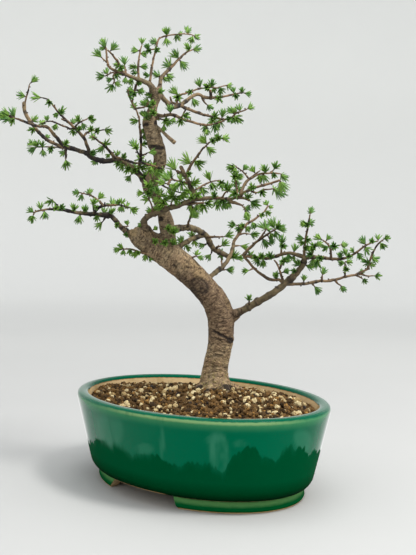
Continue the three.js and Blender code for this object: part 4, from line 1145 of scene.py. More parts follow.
def softened(profile: Array, share: float, steps: int, longest: float, closed: bool = False) -> Array:
    """A profile with its corners rounded and its straight runs divided.

    Each corner becomes a quadratic curve, (1 - t)^2 * a + 2 * t * (1 - t) * corner + t^2 * b, between the points
    a and b that lie a share of the shorter side beside it away.

    Args:
        profile: Corners as rows of inset and height.
        share: Where the curves start and end, as a share of the shorter side, under a half.
        steps: Points on each curve, less one.
        longest: The longest straight step that may be left.
        closed: Whether the profile is a loop.

    Returns:
        The finer profile.
    """
    before, after = np.roll(profile, 1, axis=0) - profile, np.roll(profile, -1, axis=0) - profile
    reach = share * np.minimum(np.linalg.norm(before, axis=1), np.linalg.norm(after, axis=1))[:, None]
    t = np.linspace(0, 1, steps + 1)[None, :, None]
    start, end = (profile + unit(side) * reach for side in (before, after))
    curves = (1 - t) ** 2 * start[:, None] + 2 * t * (1 - t) * profile[:, None] + t**2 * end[:, None]
    points = curves.reshape(-1, 2)
    if closed:
        points = np.concatenate([points, points[:1]])
    else:
        points = np.concatenate([profile[:1], points[steps + 1 : -steps - 1], profile[-1:]])
    lengths = np.linalg.norm(np.diff(points, axis=0), axis=1)
    parts = [
        a + (b - a) * np.arange(count)[:, None] / count
        for a, b, count in zip(points, points[1:], np.maximum(1, np.ceil(lengths / longest)).astype(int))
    ]
    return np.concatenate(parts if closed else [*parts, points[-1:]])


@dataclass(frozen=True)
class ScarAndLight:
    """A mark on a surface's front: an ellipse on the board, darkened, dented or paled; on the bark and the glaze some
    of them are painted shade, highlight and reflection.

    Sizes are in millimetres; turn is in degrees, downwards to the right; ring keeps only the ellipse's edge.
    """

    x: float
    y: float
    long: float
    wide: float
    turn: float = 0.0
    dark: float = 0.0
    dent: float = 0.0
    pale: float = 0.0
    ring: bool = False

    def share(self, x: Array, y: Array) -> Array:
        """How strongly the mark shows: 1 inside and fading at its edge, or a bell across the edge of a ring.

        Args:
            x: Places across the board.
            y: Places down it.

        Returns:
            A number from 0 to 1 for each place.
        """
        turn = math.radians(self.turn)
        along = (x - self.x) * math.cos(turn) + (y - self.y) * math.sin(turn)
        beside = (y - self.y) * math.cos(turn) - (x - self.x) * math.sin(turn)
        away = np.hypot(along / self.long, beside / self.wide)
        return np.exp(-(((away - 0.85) / 0.2) ** 2)) if self.ring else ease(away, 1.15, 0.7)


def scars_and_light(text: str) -> tuple[ScarAndLight, ...]:
    """Marks written out, as rows of x, y, long, wide, turn, dark, dent, pale and ring."""
    return tuple(ScarAndLight(*row[:8], ring=row[8] > 0) for row in written(text, 9))


# Where the dark reflection painted on the glaze ends up the wall, as x, y on the board.
DARK_REFLECTION_LINE = written("""
92 441  97 440  103 441  110 443  117 444  122 447  126 453  131 456  136 453  150 454  158 455  163 460  168 464
175 466  182 463  208 462  213 465  218 470  223 477  227 470  230 461  233 454  240 452  247 448  252 446  257 450
262 456  268 460  274 462  280 456  285 447  291 445  295 452  300 446  304 449  308 456  314 450  318 450
""", 2)
# Pale reflected patches painted on the glaze.
REFLECTED_PATCHES = scars_and_light("""
219 452 25 10 84 0 0 0.62 0  213 440 8 6 0 0 0 0.3 0  162 436 24 2 88 0 0 0.4 0  144 449 10 6 0 0 0 0.3 0
303 440 14 9 70 0 0 0.35 0  110 428 20 14 80 0 0 0.3 0  240 444 8 4 0 0 0 0.25 0
""")


@dataclass
class Pot:
    """An oval stoneware pot on two long feet. Millimetres; profiles are rows of inset from the rim and height."""

    middle: Pair
    board: Board
    length: float = 281.0
    width: float = 215.0
    columns: int = 288
    floor_inset: float = 60.0
    hole_radius: float = 11.0
    hole_offset: float = 55.0
    gap_at_ground: float = 46.0
    gap_at_body: float = 39.0
    underside: float = 10.5
    foot_round: float = 0.9
    foot_half: float = 6.0
    foot_sections: int = 119
    hole_lip: float = 0.8
    half_line: int = 23
    outside: tuple[Pair, ...] = (
        (60, 10.5), (26, 10.5), (19.7, 12.8), (15.7, 18), (13.7, 26), (0.5, 82), (0, 85.4), (0.8, 87.7),
        (2.8, 89), (6, 89.4),
    )
    inside: tuple[Pair, ...] = (
        (9, 89.1), (10.8, 88.2), (12.2, 85.6), (14.5, 80), (22.5, 28), (29.5, 19), (60, 19),
    )
    foot: tuple[Pair, ...] = ((27.5, 12.6), (24.9, 6.6), (23.4, 3), (24.9, 0), (35.5, 0), (37.5, 12.6))
    glaze_starts: float = 12.0
    glaze_gap_rise: float = 1.5
    worn_at: float = -55.0
    glaze_ends: float = 11.9
    glaze_fade: float = 0.8
    glaze_fade_inside: float = 0.9
    dark_reflection_mean: float = 0.55
    dark_reflection_wave: float = 0.07
    dark_reflection_ripple: float = 0.04
    dark_reflection_heights: Pair = (20, 74)

    def settled(self, points: Array) -> Array:
        """Millimetres from the pot's middle as metres in the model."""
        return points * MM + np.array([*self.middle, 0])

    def place(self, inset: Array, height: Array, angle: Array) -> Array:
        """A place on an oval: half the length less the inset times cosine, and half the width less it times sine.

        Args:
            inset: Distances in from the rim.
            height: Heights.
            angle: Angles round the oval.

        Returns:
            Points in metres.
        """
        x = (self.length / 2 - inset) * np.cos(angle)
        y = (self.width / 2 - inset) * np.sin(angle)
        return self.settled(np.stack(np.broadcast_arrays(x, y, height), axis=-1))

    def unglazed(self, *shape: int) -> dict[str, Array]:
        """The values that points without glaze carry."""
        bare = dict.fromkeys(("glazed", "inside", "worn", "veil"), np.zeros(shape))
        return bare | {"pool": np.full(shape, self.dark_reflection_mean)}

    def bowl(self) -> Shell:
        """The wall: the profile swept round the oval, from its floor outside, over the rim, to its floor inside.

        Returns:
            The wall, open at the floor.
        """
        profile = softened(np.array(self.outside + self.inside, float), 0.42, 5, 2.5)
        angle = circle(self.columns)
        points = self.place(profile[:, :1], profile[:, 1:], angle[None]).reshape(-1, 3)
        top, row = int(np.argmax(profile[:, 1])), np.arange(len(profile))
        beside = np.abs(self.length / 2 * np.cos(angle))
        starts = self.glaze_starts + self.glaze_gap_rise * ease(beside, self.gap_at_ground, self.gap_at_body)
        outer = ease(profile[:, 1:], starts - self.glaze_fade, starts + self.glaze_fade) * (row <= top)[:, None]
        low, high = self.glaze_ends + self.glaze_fade_inside, self.glaze_ends - self.glaze_fade_inside
        inner = ease(profile[:, 0], low, high) * (row > top)
        inside = np.repeat(ease(row, top - 1.0, top + 1.0), self.columns)
        worn = ease(np.cos(2 * (angle - math.radians(self.worn_at))), -0.35, 0.75)
        x, y, _ = self.board.find(points).T
        towards = self.facing(angle)
        # Painted reflected patches, only where the wall faces the eye.
        veil = np.max([mark.pale * mark.share(x, y) for mark in REFLECTED_PATCHES], axis=0) * np.tile(towards, len(profile))
        values = {"glazed": (outer + inner[:, None]).ravel(), "inside": inside, "worn": np.tile(worn, len(profile))}
        values |= {"pool": np.tile(self.dark_reflection_top(angle, towards), len(profile)), "veil": veil}
        return Shell(points, [net(len(profile), self.columns)], values)

    def facing(self, angle: Array) -> Array:
        """How far the wall faces the board's eye at each angle: its normal against the line of sight, 0 to 1."""
        out = unit(np.stack([self.width * np.cos(angle), self.length * np.sin(angle)], axis=-1))
        return ease(-out @ self.board.axes()[2][:2], 0.0, 0.15)

    def dark_reflection_top(self, angle: Array, towards: Array) -> Array:
        """Where the painted dark reflection ends at each angle, as a share of the pot's height.

        It is the height at which the wall, seen on the board, meets the drawn line. Where the wall turns away
        from the eye, it is a mean height and two waves, of three and eight crests round the pot.

        Args:
            angle: Angles round the oval.
            towards: How far the wall faces the eye there.

        Returns:
            The shares.
        """
        inset, level = np.array(self.outside).T
        height = np.linspace(*self.dark_reflection_heights, 109)
        wall = self.place(np.interp(height, level, inset)[:, None], height[:, None], angle[None])
        x, y, _ = self.board.find(wall.reshape(-1, 3)).T
        off = np.abs(y - np.interp(x, *DARK_REFLECTION_LINE.T)).reshape(wall.shape[:2])
        met = height[np.argmin(off, axis=0)] / level[-1]
        waves = self.dark_reflection_mean + self.dark_reflection_wave * np.cos(3 * angle) + self.dark_reflection_ripple * np.sin(8 * angle)
        return waves + (met - waves) * towards

    def floor(self, side: int) -> Shell:
        """Half of the flat floor with its drain hole.

        Straight lines run from the edge of the half, an arc of the oval and the line across the pot, to the
        hole's circle, down the hole and back below.

        Args:
            side: -1 or 1, the half's side along X.

        Returns:
            The half, open where it meets the wall and the other half.
        """
        quarter = self.columns // 4
        angle = np.arange(-quarter, quarter + 1) / self.columns * 2 * np.pi
        half = np.array([self.length / 2 - self.floor_inset, self.width / 2 - self.floor_inset])
        arc = np.stack([half[0] * np.cos(angle), half[1] * np.sin(angle)], axis=-1)
        across = np.linspace(half[1], -half[1], self.half_line + 2)[1:-1]
        edge = np.concatenate([arc, np.column_stack([0 * across, across])])
        centre = np.array([self.hole_offset, 0])
        hole = centre + unit(edge - centre) * self.hole_radius
        top, bottom = self.inside[-1][1], self.outside[0][1]
        inwards = [0, 0.25, 0.5, 0.75, 0.93]
        shares = np.array([*inwards, 1, 1, 1, *inwards[::-1]])[:, None, None]
        down = [top - self.hole_lip, (top + bottom) / 2, bottom + self.hole_lip]
        heights = np.array([top] * 5 + down + [bottom] * 5)[:, None, None]
        flat = (edge * (1 - shares) + hole * shares) * np.array([side, 1])
        rows = np.dstack([flat, np.broadcast_to(heights, flat[..., :1].shape)])
        faces = net(len(rows), len(edge))
        points = self.settled(rows.reshape(-1, 3))
        return Shell(points, [faces if side > 0 else faces[:, ::-1]], self.unglazed(len(points)))

    def foot_shell(self, side: int) -> Shell:
        """One foot: its profile swept along the oval between the two gaps, with rounded ends.

        Near an end the section shrinks by 1 - cosine while it moves on by the sine of the same angle.

        Args:
            side: -1 or 1, the foot's side along X.

        Returns:
            The closed foot.
        """
        profile = softened(np.array(self.foot, float), 0.3, 4, 1.5, closed=True)
        centre = profile.mean(axis=0)
        bend = np.radians([90, 60, 30, 0])
        slope = (self.gap_at_ground - self.gap_at_body) / self.underside
        sections, angles = [], []
        for turn in bend:
            section = centre + (profile - centre) * (1 - self.foot_round / self.foot_half * (1 - math.cos(turn)))
            gap = self.gap_at_ground - slope * section[:, 1] + self.foot_round * (1 - math.sin(turn))
            sections.append(section)
            angles.append(np.arccos(gap / (self.length / 2 - section[:, 0])))
        share = np.linspace(-1, 1, self.foot_sections + 2)[1:-1, None]
        even = np.repeat(profile[None], self.foot_sections, axis=0)
        whole = np.concatenate([np.array(sections), even, np.array(sections[::-1])])
        angle = np.concatenate([-np.array(angles), angles[-1] * share, np.array(angles[::-1])])
        points = self.place(whole[..., 0], whole[..., 1], angle)
        points[..., 0] = self.middle[0] + side * (points[..., 0] - self.middle[0])
        glazed = ease(whole[..., 1], 0.7, 1.9) * ease(whole[..., 0], 31.5, 27.5)
        glazed[[0, -1]] = 0
        glazed[[1, -2]] *= 0.5
        return closed_tube(points, self.unglazed(*glazed.shape) | {"glazed": glazed}).outward()

    def build(self, finish: GlazedClay) -> Object:
        """Joins the bowl, its floor and its feet, and closes the seams between them.

        Args:
            finish: The pot's glaze and clay.

        Returns:
            The pot.
        """
        parts = [self.bowl(), self.floor(-1), self.floor(1), self.foot_shell(-1), self.foot_shell(1)]
        pot = Shell.joined(parts).build("glazed_pot")
        weld(pot.data, 0.00002)
        dress(pot, finish.material(), "green_glaze", "pot")
        return pot


def weld(mesh: Mesh, distance: float) -> None:
    """Merges the points of a mesh that lie together and turns its faces outwards.

    Args:
        mesh: The mesh.
        distance: How near they lie.
    """
    work = bmesh.new()
    work.from_mesh(mesh)
    bmesh.ops.remove_doubles(work, verts=work.verts, dist=distance)
    bmesh.ops.recalc_face_normals(work, faces=work.faces)
    work.to_mesh(mesh)
    work.free()


def dress(made: Object, finish: Material, slot: str, *nodes: str) -> None:
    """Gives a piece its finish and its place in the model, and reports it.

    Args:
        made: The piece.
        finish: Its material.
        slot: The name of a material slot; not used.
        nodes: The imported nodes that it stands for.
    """
    made.data.materials.clear()
    made.data.materials.append(finish)
    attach(made, ROOT)
    if nodes:
        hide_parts(*nodes)
    LOG.info("%s: %d points, %d faces", made.name, len(made.data.vertices), len(made.data.polygons))


# ---- soil


@dataclass
class Soil:
    """The domed bed of soil and the loose grains on it. Millimetres from the pot's middle."""

    pot: Pot
    trunk: Pair
    edge: float = 75.6
    dome: float = 11.4
    mound: float = 4.0
    mound_reach: float = 38.0
    heaped: float = 10.0
    heap_turn: float = 42.0
    inset: float = 14.5
    rows: int = 64
    columns: int = 240
    top_inset: float = 14.8
    side: tuple[Pair, ...] = ((60.0, 17.4), (40.0, 20.9), (30.0, 22.9), (22.5, 29.0), (22.5, 60.0))
    underside: float = 22.5
    bump: float = 1.3
    trunk_room: float = 15.5
    scatter: float = 0.6

    def height(self, x: Array, y: Array) -> Array:
        """How high the bed lies.

        It is its edge, a parabola over the oval, a bell-shaped mound round the trunk, and a rise with the square
        of the distance along a line turned by heap_turn.

        Args:
            x: Places along the pot.
            y: Places across it.

        Returns:
            Their heights.
        """
        across = (x / (self.pot.length / 2 - self.inset)) ** 2 + (y / (self.pot.width / 2 - self.inset)) ** 2
        from_trunk = (x - self.trunk[0]) ** 2 + (y - self.trunk[1]) ** 2
        bell = np.exp(-from_trunk / (2 * self.mound_reach**2))
        turn = math.radians(self.heap_turn)
        heap = ((x * math.cos(turn) + y * math.sin(turn)) / (self.pot.length / 2)) ** 2
        return self.edge + self.dome * np.maximum(0, 1 - across) + self.mound * bell + self.heaped * heap

    def bed(self) -> Shell:
        """Rings from the middle out to the wall, bumpy on top, then down the wall and back under the soil.

        The side's rows are height and inset. The bumps are layered clouds.

        Returns:
            The bed.
        """
        cloud, angle = Cloud(SEED + 5), circle(self.columns)
        half_length, half_width = self.pot.length / 2, self.pot.width / 2
        top = np.linspace(half_width - 1, self.top_inset, self.rows)
        side = np.array([*self.side, (self.underside, half_width - 1)])
        inset = np.concatenate([top, side[:, 1]])[:, None]
        x, y = (half_length - inset) * np.cos(angle), (half_width - inset) * np.sin(angle)
        spread = (half_width - top) / (half_width - self.top_inset) * (half_length - self.top_inset)
        x[: self.rows] = spread[:, None] * np.cos(angle)
        bumps = self.bump * cloud.layered(np.stack([x, y, 0 * x], axis=-1).reshape(-1, 3), 7, 3, 0.6).reshape(x.shape)
        z = self.height(x, y) + bumps
        z[self.rows :] = side[:, :1]
        points = self.pot.settled(np.stack([x, y, z], axis=-1))
        return closed_tube(points, {"tint": 0.5 + 0.5 * bumps / self.bump}).outward()

    def grains(self, kind: Grit) -> Shell:
        """Angular grains of one kind: twenty-sided crumbs, each stretched, dented, turned and half sunk by chance.

        Args:
            kind: The kind of grain.

        Returns:
            The grains.
        """
        chance = dice(kind.draws)
        half = np.array([self.pot.length / 2, self.pot.width / 2]) - self.inset
        columns, rows = (np.arange(-count, count + 1) for count in np.ceil(half / kind.spacing))
        x, y = (axis.ravel() * kind.spacing for axis in np.meshgrid(columns, rows, indexing="ij"))
        x = x + chance.uniform(-self.scatter, self.scatter, len(x)) * kind.spacing
        y = y + chance.uniform(-self.scatter, self.scatter, len(y)) * kind.spacing
        size = chance.uniform(*kind.widths, len(x))
        inside = (x / (half[0] - 0.55 * size)) ** 2 + (y / (half[1] - 0.55 * size)) ** 2 < 1
        clear = np.hypot(x - self.trunk[0], y - self.trunk[1]) > self.trunk_room
        patch = 0.5 + 0.5 * Cloud(kind.draws).layered(np.column_stack([x, y, 0 * x]), 24, 2)
        kept = inside & clear & (chance.uniform(0, 1, len(x)) < kind.share * (0.35 + 1.3 * patch))
        x, y, size = x[kept], y[kept], size[kept]
        crumb, faces = icosahedron()
        count = len(x)
        shape = crumb[None] * chance.uniform(0.78, 1.2, (count, 12, 1))
        shape = shape * (size[:, None] / 2 * chance.uniform([0.85, 0.7, 0.5], [1.15, 0.95, 0.8], (count, 3)))[:, None]
        shape = np.einsum("nij,nkj->nki", turns(chance, count), shape)
        lift = 0.18 * size + chance.uniform(-0.3, 0.9, count)
        middle = np.column_stack([x, y, self.height(x, y) + lift])
        numbered = (faces[None] + 12 * np.arange(count)[:, None, None]).reshape(-1, 3)
        tint = np.repeat(chance.uniform(0, 1, count), 12)
        LOG.info("%s: %d grains", kind.name, count)
        return Shell(self.pot.settled((shape + middle[:, None]).reshape(-1, 3)), [numbered], {"tint": tint})

    def build(self) -> None:
        """Makes the bed and its grains."""
        bed = self.bed().build("soil_bed")
        dress(bed, Grains.LOAM.value.material(), "gravel_soil", "soil")
        for kind in (member.value for member in Grains):
            grains = self.grains(kind).outward().build(kind.name, smooth=False)
            dress(grains, kind.material(), "gravel_soil")


def icosahedron() -> tuple[Array, Array]:
    """An icosahedron whose corners are 1 from its middle, from three golden rectangles.

    Returns:
        The twelve corners and the twenty faces.
    """
    g = (1 + math.sqrt(5)) / 2
    flat = np.array([(-1, g, 0), (1, g, 0), (-1, -g, 0), (1, -g, 0)])
    faces = written("""
0 11 5  0 5 1  0 1 7  0 7 10  0 10 11  1 5 9  5 11 4  11 10 2  10 7 6  7 1 8
3 9 4  3 4 2  3 2 6  3 6 8  3 8 9  4 9 5  2 4 11  6 2 10  8 6 7  9 8 1
""", 3)
    return unit(np.concatenate([flat, flat[:, [2, 0, 1]], flat[:, [1, 2, 0]]])), faces.astype(int)


def turns(chance: np.random.Generator, count: int) -> Array:
    """Random turns, from random unit quaternions.

    Args:
        chance: Where the random numbers come from.
        count: How many turns to make.

    Returns:
        Their matrices.
    """
    w, x, y, z = unit(chance.normal(size=(count, 4))).T
    rows = [
        [1 - 2 * (y * y + z * z), 2 * (x * y - z * w), 2 * (x * z + y * w)],
        [2 * (x * y + z * w), 1 - 2 * (x * x + z * z), 2 * (y * z - x * w)],
        [2 * (x * z - y * w), 2 * (y * z + x * w), 1 - 2 * (x * x + y * y)],
    ]
    return np.moveaxis(np.array(rows), -1, 0)


# ---- wood


def course(marks: Array, step: float) -> Array:
    """A smooth line through marks, as evenly spaced rows.

    Each stretch is a cubic Hermite curve whose knots lie the square roots of the marks' distances apart.

    Args:
        marks: Rows whose first three numbers are a place; the rest ride along.
        step: Distance between the rows that come back.

    Returns:
        The finer rows.
    """
    ends = 2 * marks[[0, -1]] - marks[[1, -2]]
    m = np.concatenate([ends[:1], marks, ends[1:]])
    knots = np.sqrt(np.maximum(np.linalg.norm(np.diff(m[:, :3], axis=0), axis=1), 1e-6))[:, None]
    before, after = knots[:-1], knots[1:]
    slope = (m[1:-1] - m[:-2]) / before - (m[2:] - m[:-2]) / (before + after) + (m[2:] - m[1:-1]) / after
    t = np.linspace(0, 1, 25)[:-1][None, :, None]
    start, end, run = marks[:-1, None], marks[1:, None], knots[1:-1, None]
    curve = (2 * t**3 - 3 * t**2 + 1) * start + (t**3 - 2 * t**2 + t) * run * slope[:-1, None]
    curve = curve + (3 * t**2 - 2 * t**3) * end + (t**3 - t**2) * run * slope[1:, None]
    rows = np.concatenate([curve.reshape(-1, marks.shape[1]), marks[-1:]])
    along = travelled(rows[:, :3])
    places = np.linspace(0, along[-1], max(3, round(along[-1] / step) + 1))
    return np.stack([np.interp(places, along, column) for column in rows.T], axis=-1)


def frames(line: Array) -> tuple[Array, Array, Array]:
    """Unit vectors for each point of a line on the board.

    Args:
        line: The points.

    Returns:
        Those along it, across it and towards its front.
    """
    tangent = unit(np.gradient(line, axis=0))
    across = unit(np.cross(tangent, [0.0, 0.0, 1.0]))
    return tangent, across, np.cross(across, tangent)


def rings_round(line: Array, radius: Array, sides: int) -> Array:
    """Circles round a line: across times cosine plus front times sine, times the radius.

    Args:
        line: Points on the board.
        radius: One number for each point, or one for each point and place round it.
        sides: Places round the line.

    Returns:
        Points as [ring, place round it, axis].
    """
    _, across, front = frames(line)
    angle = circle(sides)
    out = across[:, None] * np.cos(angle)[None, :, None] + front[:, None] * np.sin(angle)[None, :, None]
    return line[:, None] + out * radius.reshape(len(line), -1, 1)


# Marks on the bark: scarred spots, knots, rings and the stub's pale cut face. Painted shade lies along the lower-left
# side of the leaning trunk. Where the trunk and roots meet the soil there is a dark line of painted shadow and damp
# wood. Painted highlights lie along the trunk's lit upper and right edges and on the stub's end.
SCARS_SHADE_AND_HIGHLIGHTS = scars_and_light("""
199.7 285.8 10 7.6 35 0.42 0.3 0 0  199.7 285.8 10 7.6 35 0.78 0.9 0 1  201 288 2.4 1.6 0 0.75 0.5 0 0
196 283.5 3.4 1.2 30 0.45 0.3 0 0  193 292 6.5 4.4 45 0.72 0 0 0  184 280.5 13 3.6 40 0.42 0 0 0
198 299 7.5 3.4 55 0.55 0 0 0  199 270 15 3 44 0 0 0.45 0  228 303 8 2.2 72 0 0 0.4 0
222 335.5 13.5 1.5 29 0.85 1.1 0 0  215.5 338.6 8 0.9 15 0.55 0.6 0 0  230 340 3.6 3.6 0 0.9 -0.6 0 0
219 355.5 5.5 1.9 6 0.5 0.3 0 0  211.5 356.5 3 1.2 -10 0.4 0 0 0  174.7 265.8 2.2 1.7 30 0.85 0.8 0 0
188.5 267.3 1.8 1.3 30 0.6 0.4 0 0  176 262.5 5 2.4 20 0.35 0 0 0  198 275.5 6.5 4.5 40 0 0 0.5 0
186 266 6 3.5 40 0 0 0.25 0  133.5 232.5 4.6 4.4 0 0 0.3 0.5 0  147 234 8 3 30 0 0 0.2 0
160.6 218.9 2.8 2.6 0 0.9 0.8 0 0  168 222.6 2.2 1.6 0 0.6 0.4 0 0  157.5 147.3 9 2.4 10 0.9 0.9 0 0
146.3 124.5 2.4 2.6 0 0.95 0.7 0 0  156.2 122.8 2.6 2.4 0 0.95 0.7 0 0  159 115.5 2.6 1.6 0 0.8 0.3 0 0
150.5 138 5 1.3 15 0.5 0.4 0 0  160 153 2.4 1.4 0 0.7 0.5 0 0  162 163 2.2 1.2 20 0.5 0.3 0 0
199 388 5 3.4 -40 0.92 0 0 0  230 388 9 3 22 0.92 0 0 0  213 390 16 1.6 0 0.92 0 0 0  242 392.5 7 3 22 0.85 0 0 0
222 318 6 0.8 4 0.35 0.5 0 0  221 322.5 7 0.7 -3 0.3 0.5 0 0  222 327 6 0.7 2 0.3 0.5 0 0
222 345.5 5.5 0.8 3 0.4 0.6 0 0  222 350 6 0.8 0 0.4 0.6 0 0
""")


@dataclass
class Trunk:
    """The bare wood: trunk, leader, roots and cut stubs, grown into one skin. Millimetres on the board."""

    board: Board
    limbs: Sequence[Array] = ()
    voxel: float = 0.8
    sides: int = 36
    step: float = 2.0
    smoothing: int = 4
    limb_apart: int = 500
    block: int = 8192
    deepest: float = 0.8
    stained_foot: float = 0.34

    def lines(self) -> list[Array]:
        """The limbs as rows of x, y, back and width."""
        return [course(rows, self.step) for rows in (*WOOD_LINES, *map(self.footing, self.limbs))]

    @staticmethod
    def footing(limb: Array) -> Array:
        """The first stretch of a limb: flared where it leaves the trunk, thinned where it sinks into the limb.

        Args:
            limb: The limb's rows.

        Returns:
            Its first rows.
        """
        along = travelled(limb[:, :3])
        length = 6 + 3.4 * limb[0, 3]
        part = limb[along < length].copy()
        share = along[along < length] / length
        part[:, 3] *= 1.1 + 0.9 * np.exp(-share / 0.24) - 0.3 * share**2
        return part[::4]

    def carriers(self) -> Array:
        """Stretches of the trunk and the leader that twigs may grow from, as rows of a foot, a tip and a radius."""
        return np.concatenate([stretches(line) for line in self.lines()[:2]])

    def raw(self) -> Shell:
        """The limbs as tubes that overlap.

        Returns:
            The tubes.
        """
        tubes = []
        for line in self.lines():
            rings = rings_round(line[:, :3], line[:, 3] / 2, self.sides)
            tubes.append(closed_tube(self.board.place(rings)).outward())
        return Shell.joined(tubes)

    def grown(self) -> Mesh:
        """Makes the tubes one even skin and fills its joints by smoothing.

        Returns:
            The skin.
        """
        raw = self.raw().build("trunk_raw")
        remesh = raw.modifiers.new("one_skin", "REMESH")
        remesh.mode, remesh.voxel_size, remesh.adaptivity = "VOXEL", self.voxel * MM, 0
        soften = raw.modifiers.new("soften", "SMOOTH")
        soften.factor, soften.iterations = 0.5, self.smoothing
        mesh = bpy.data.meshes.new_from_object(raw.evaluated_get(bpy.context.evaluated_depsgraph_get()))
        bpy.data.objects.remove(raw)
        mesh.name = "bare_wood"
        return mesh

    def straightened(self, places: Array) -> tuple[Array, Array, Array]:
        """The limbs' own coordinates: distance along the nearest limb, across it and to its front.

        Args:
            places: Points on the board.

        Returns:
            The coordinates, which limb each point is on, and the limb's radius there.
        """
        lines = self.lines()
        joined = np.concatenate(lines)
        limb = np.concatenate([np.full(len(line), i) for i, line in enumerate(lines)])
        axes = [np.concatenate(parts) for parts in zip(*(frames(line[:, :3]) for line in lines))]
        runs = [np.arange(len(line)) * self.step + self.limb_apart * i for i, line in enumerate(lines)]
        nearest = np.empty(len(places), int)
        for start in range(0, len(places), self.block):
            part = slice(start, start + self.block)
            away = np.linalg.norm(places[part, None] - joined[None, :, :3], axis=-1) - joined[:, 3] / 2
            nearest[part] = np.argmin(away, axis=1)
        off = places - joined[nearest, :3]
        tangent, across, front = (np.einsum("ij,ij->i", off, axis[nearest]) for axis in axes)
        grain = np.stack([np.concatenate(runs)[nearest] + tangent, across, front], axis=-1)
        return grain, limb[nearest], joined[nearest, 3] / 2

    def build(self, finish: Bark) -> None:
        """Makes the bare wood, raises its bark and paints its marks, among them painted shade and painted highlights.

        The bark is a sum of broad lumps, flakes and wrinkles across the limb, read in straightened coordinates.

        Args:
            finish: The bark.
        """
        mesh = self.grown()
        points, normals = np.empty((2, len(mesh.vertices) * 3), np.float32)
        mesh.vertices.foreach_get("co", points)
        mesh.vertex_normals.foreach_get("vector", normals)
        points, normals = (rows.reshape(-1, 3).astype(float) for rows in (points, normals))
        places = self.board.find(points)
        grain, limb, radius = self.straightened(places)
        cloud = Cloud(SEED + 2)
        lumps = cloud.layered(grain, 12, 2)
        knobs = cloud.layered(grain + 90, 6, 2)
        wrinkles = np.abs(cloud.layered(grain * [1, 0.28, 0.28], 3.1, 2)) * 2 - 0.5
        flakes = cloud.layered(grain * [1, 0.6, 0.6], 3.2, 2, 0.6)
        lower = ease(places[:, 1], 290, 325)
        leader = limb == 1
        relief = 0.45 * lumps + (0.2 + 0.35 * leader) * knobs + (0.12 + 0.22 * lower) * wrinkles
        relief = (relief + (0.3 - 0.08 * lower) * flakes) * np.clip(radius / 9, 0.35, 1.15)
        facing = ease(normals @ -self.board.axes()[2], 0.0, 0.3)
        wobble = 0.7 * np.column_stack([cloud.at(grain + 40, 3.0), cloud.at(grain + 70, 3.0)])
        scar = self.stained_foot * ease(limb, len(WOOD_LINES) - 0.5, len(WOOD_LINES) - 0.4)
        pale, dip = np.zeros((2, len(points)))
        for mark in SCARS_SHADE_AND_HIGHLIGHTS:
            share = facing * mark.share(*(places[:, :2] + wobble).T)
            scar = np.maximum(scar, mark.dark * share)
            pale = np.maximum(pale, mark.pale * share)
            dip = dip + mark.dent * share
        points = points + normals * ((relief - self.deepest * dip) * MM)[:, None]
        mesh.vertices.foreach_set("co", points.astype(np.float32).ravel())
        set_values(mesh, {"grain": grain * MM, "scar": scar, "pale": pale, "dip": ease(-relief, 0.15, 0.7)})
        mesh.polygons.foreach_set("use_smooth", np.full(len(mesh.polygons), True))
        mesh.update()
        dress(linked("bare_wood", mesh), finish.material(), "bark", "trunk")


def stretches(line: Array) -> Array:
    """The straight stretches between the rows of a line: foot, tip and radius in seven columns."""
    radius = (line[:-1, 3:4] + line[1:, 3:4]) / 4
    return np.concatenate([line[:-1, :3], line[1:, :3], radius], axis=1)


@dataclass(frozen=True)
class Foothold:
    """The place on a limb that is nearest to a mark: where it is, how far off on the board, and how thick."""

    point: Array
    distance: float
    radius: float

    @staticmethod
    def nearest(carriers: Array, x: float, y: float) -> Foothold:
        """Finds it: each stretch's closest point on the board, then the closest of them.

        Args:
            carriers: Stretches of limbs.
            x: The mark's place across the board.
            y: The mark's place down the board.

        Returns:
            The foothold.
        """
        foot, run = carriers[:, :3], carriers[:, 3:6] - carriers[:, :3]
        square = np.maximum((run[:, :2] ** 2).sum(axis=1), 1e-9)
        share = np.clip(((np.array([x, y]) - foot[:, :2]) * run[:, :2]).sum(axis=1) / square, 0, 1)
        points = foot + run * share[:, None]
        away = np.hypot(x - points[:, 0], y - points[:, 1])
        best = int(np.argmin(away))
        return Foothold(points[best], float(away[best]), float(carriers[best, 6]))


class Draws(IntEnum):
    """Which random numbers a spray's pieces draw."""

    TUFTS = 100
    NEEDLES = 200
    BUDS = 400
    CROOKS = 700


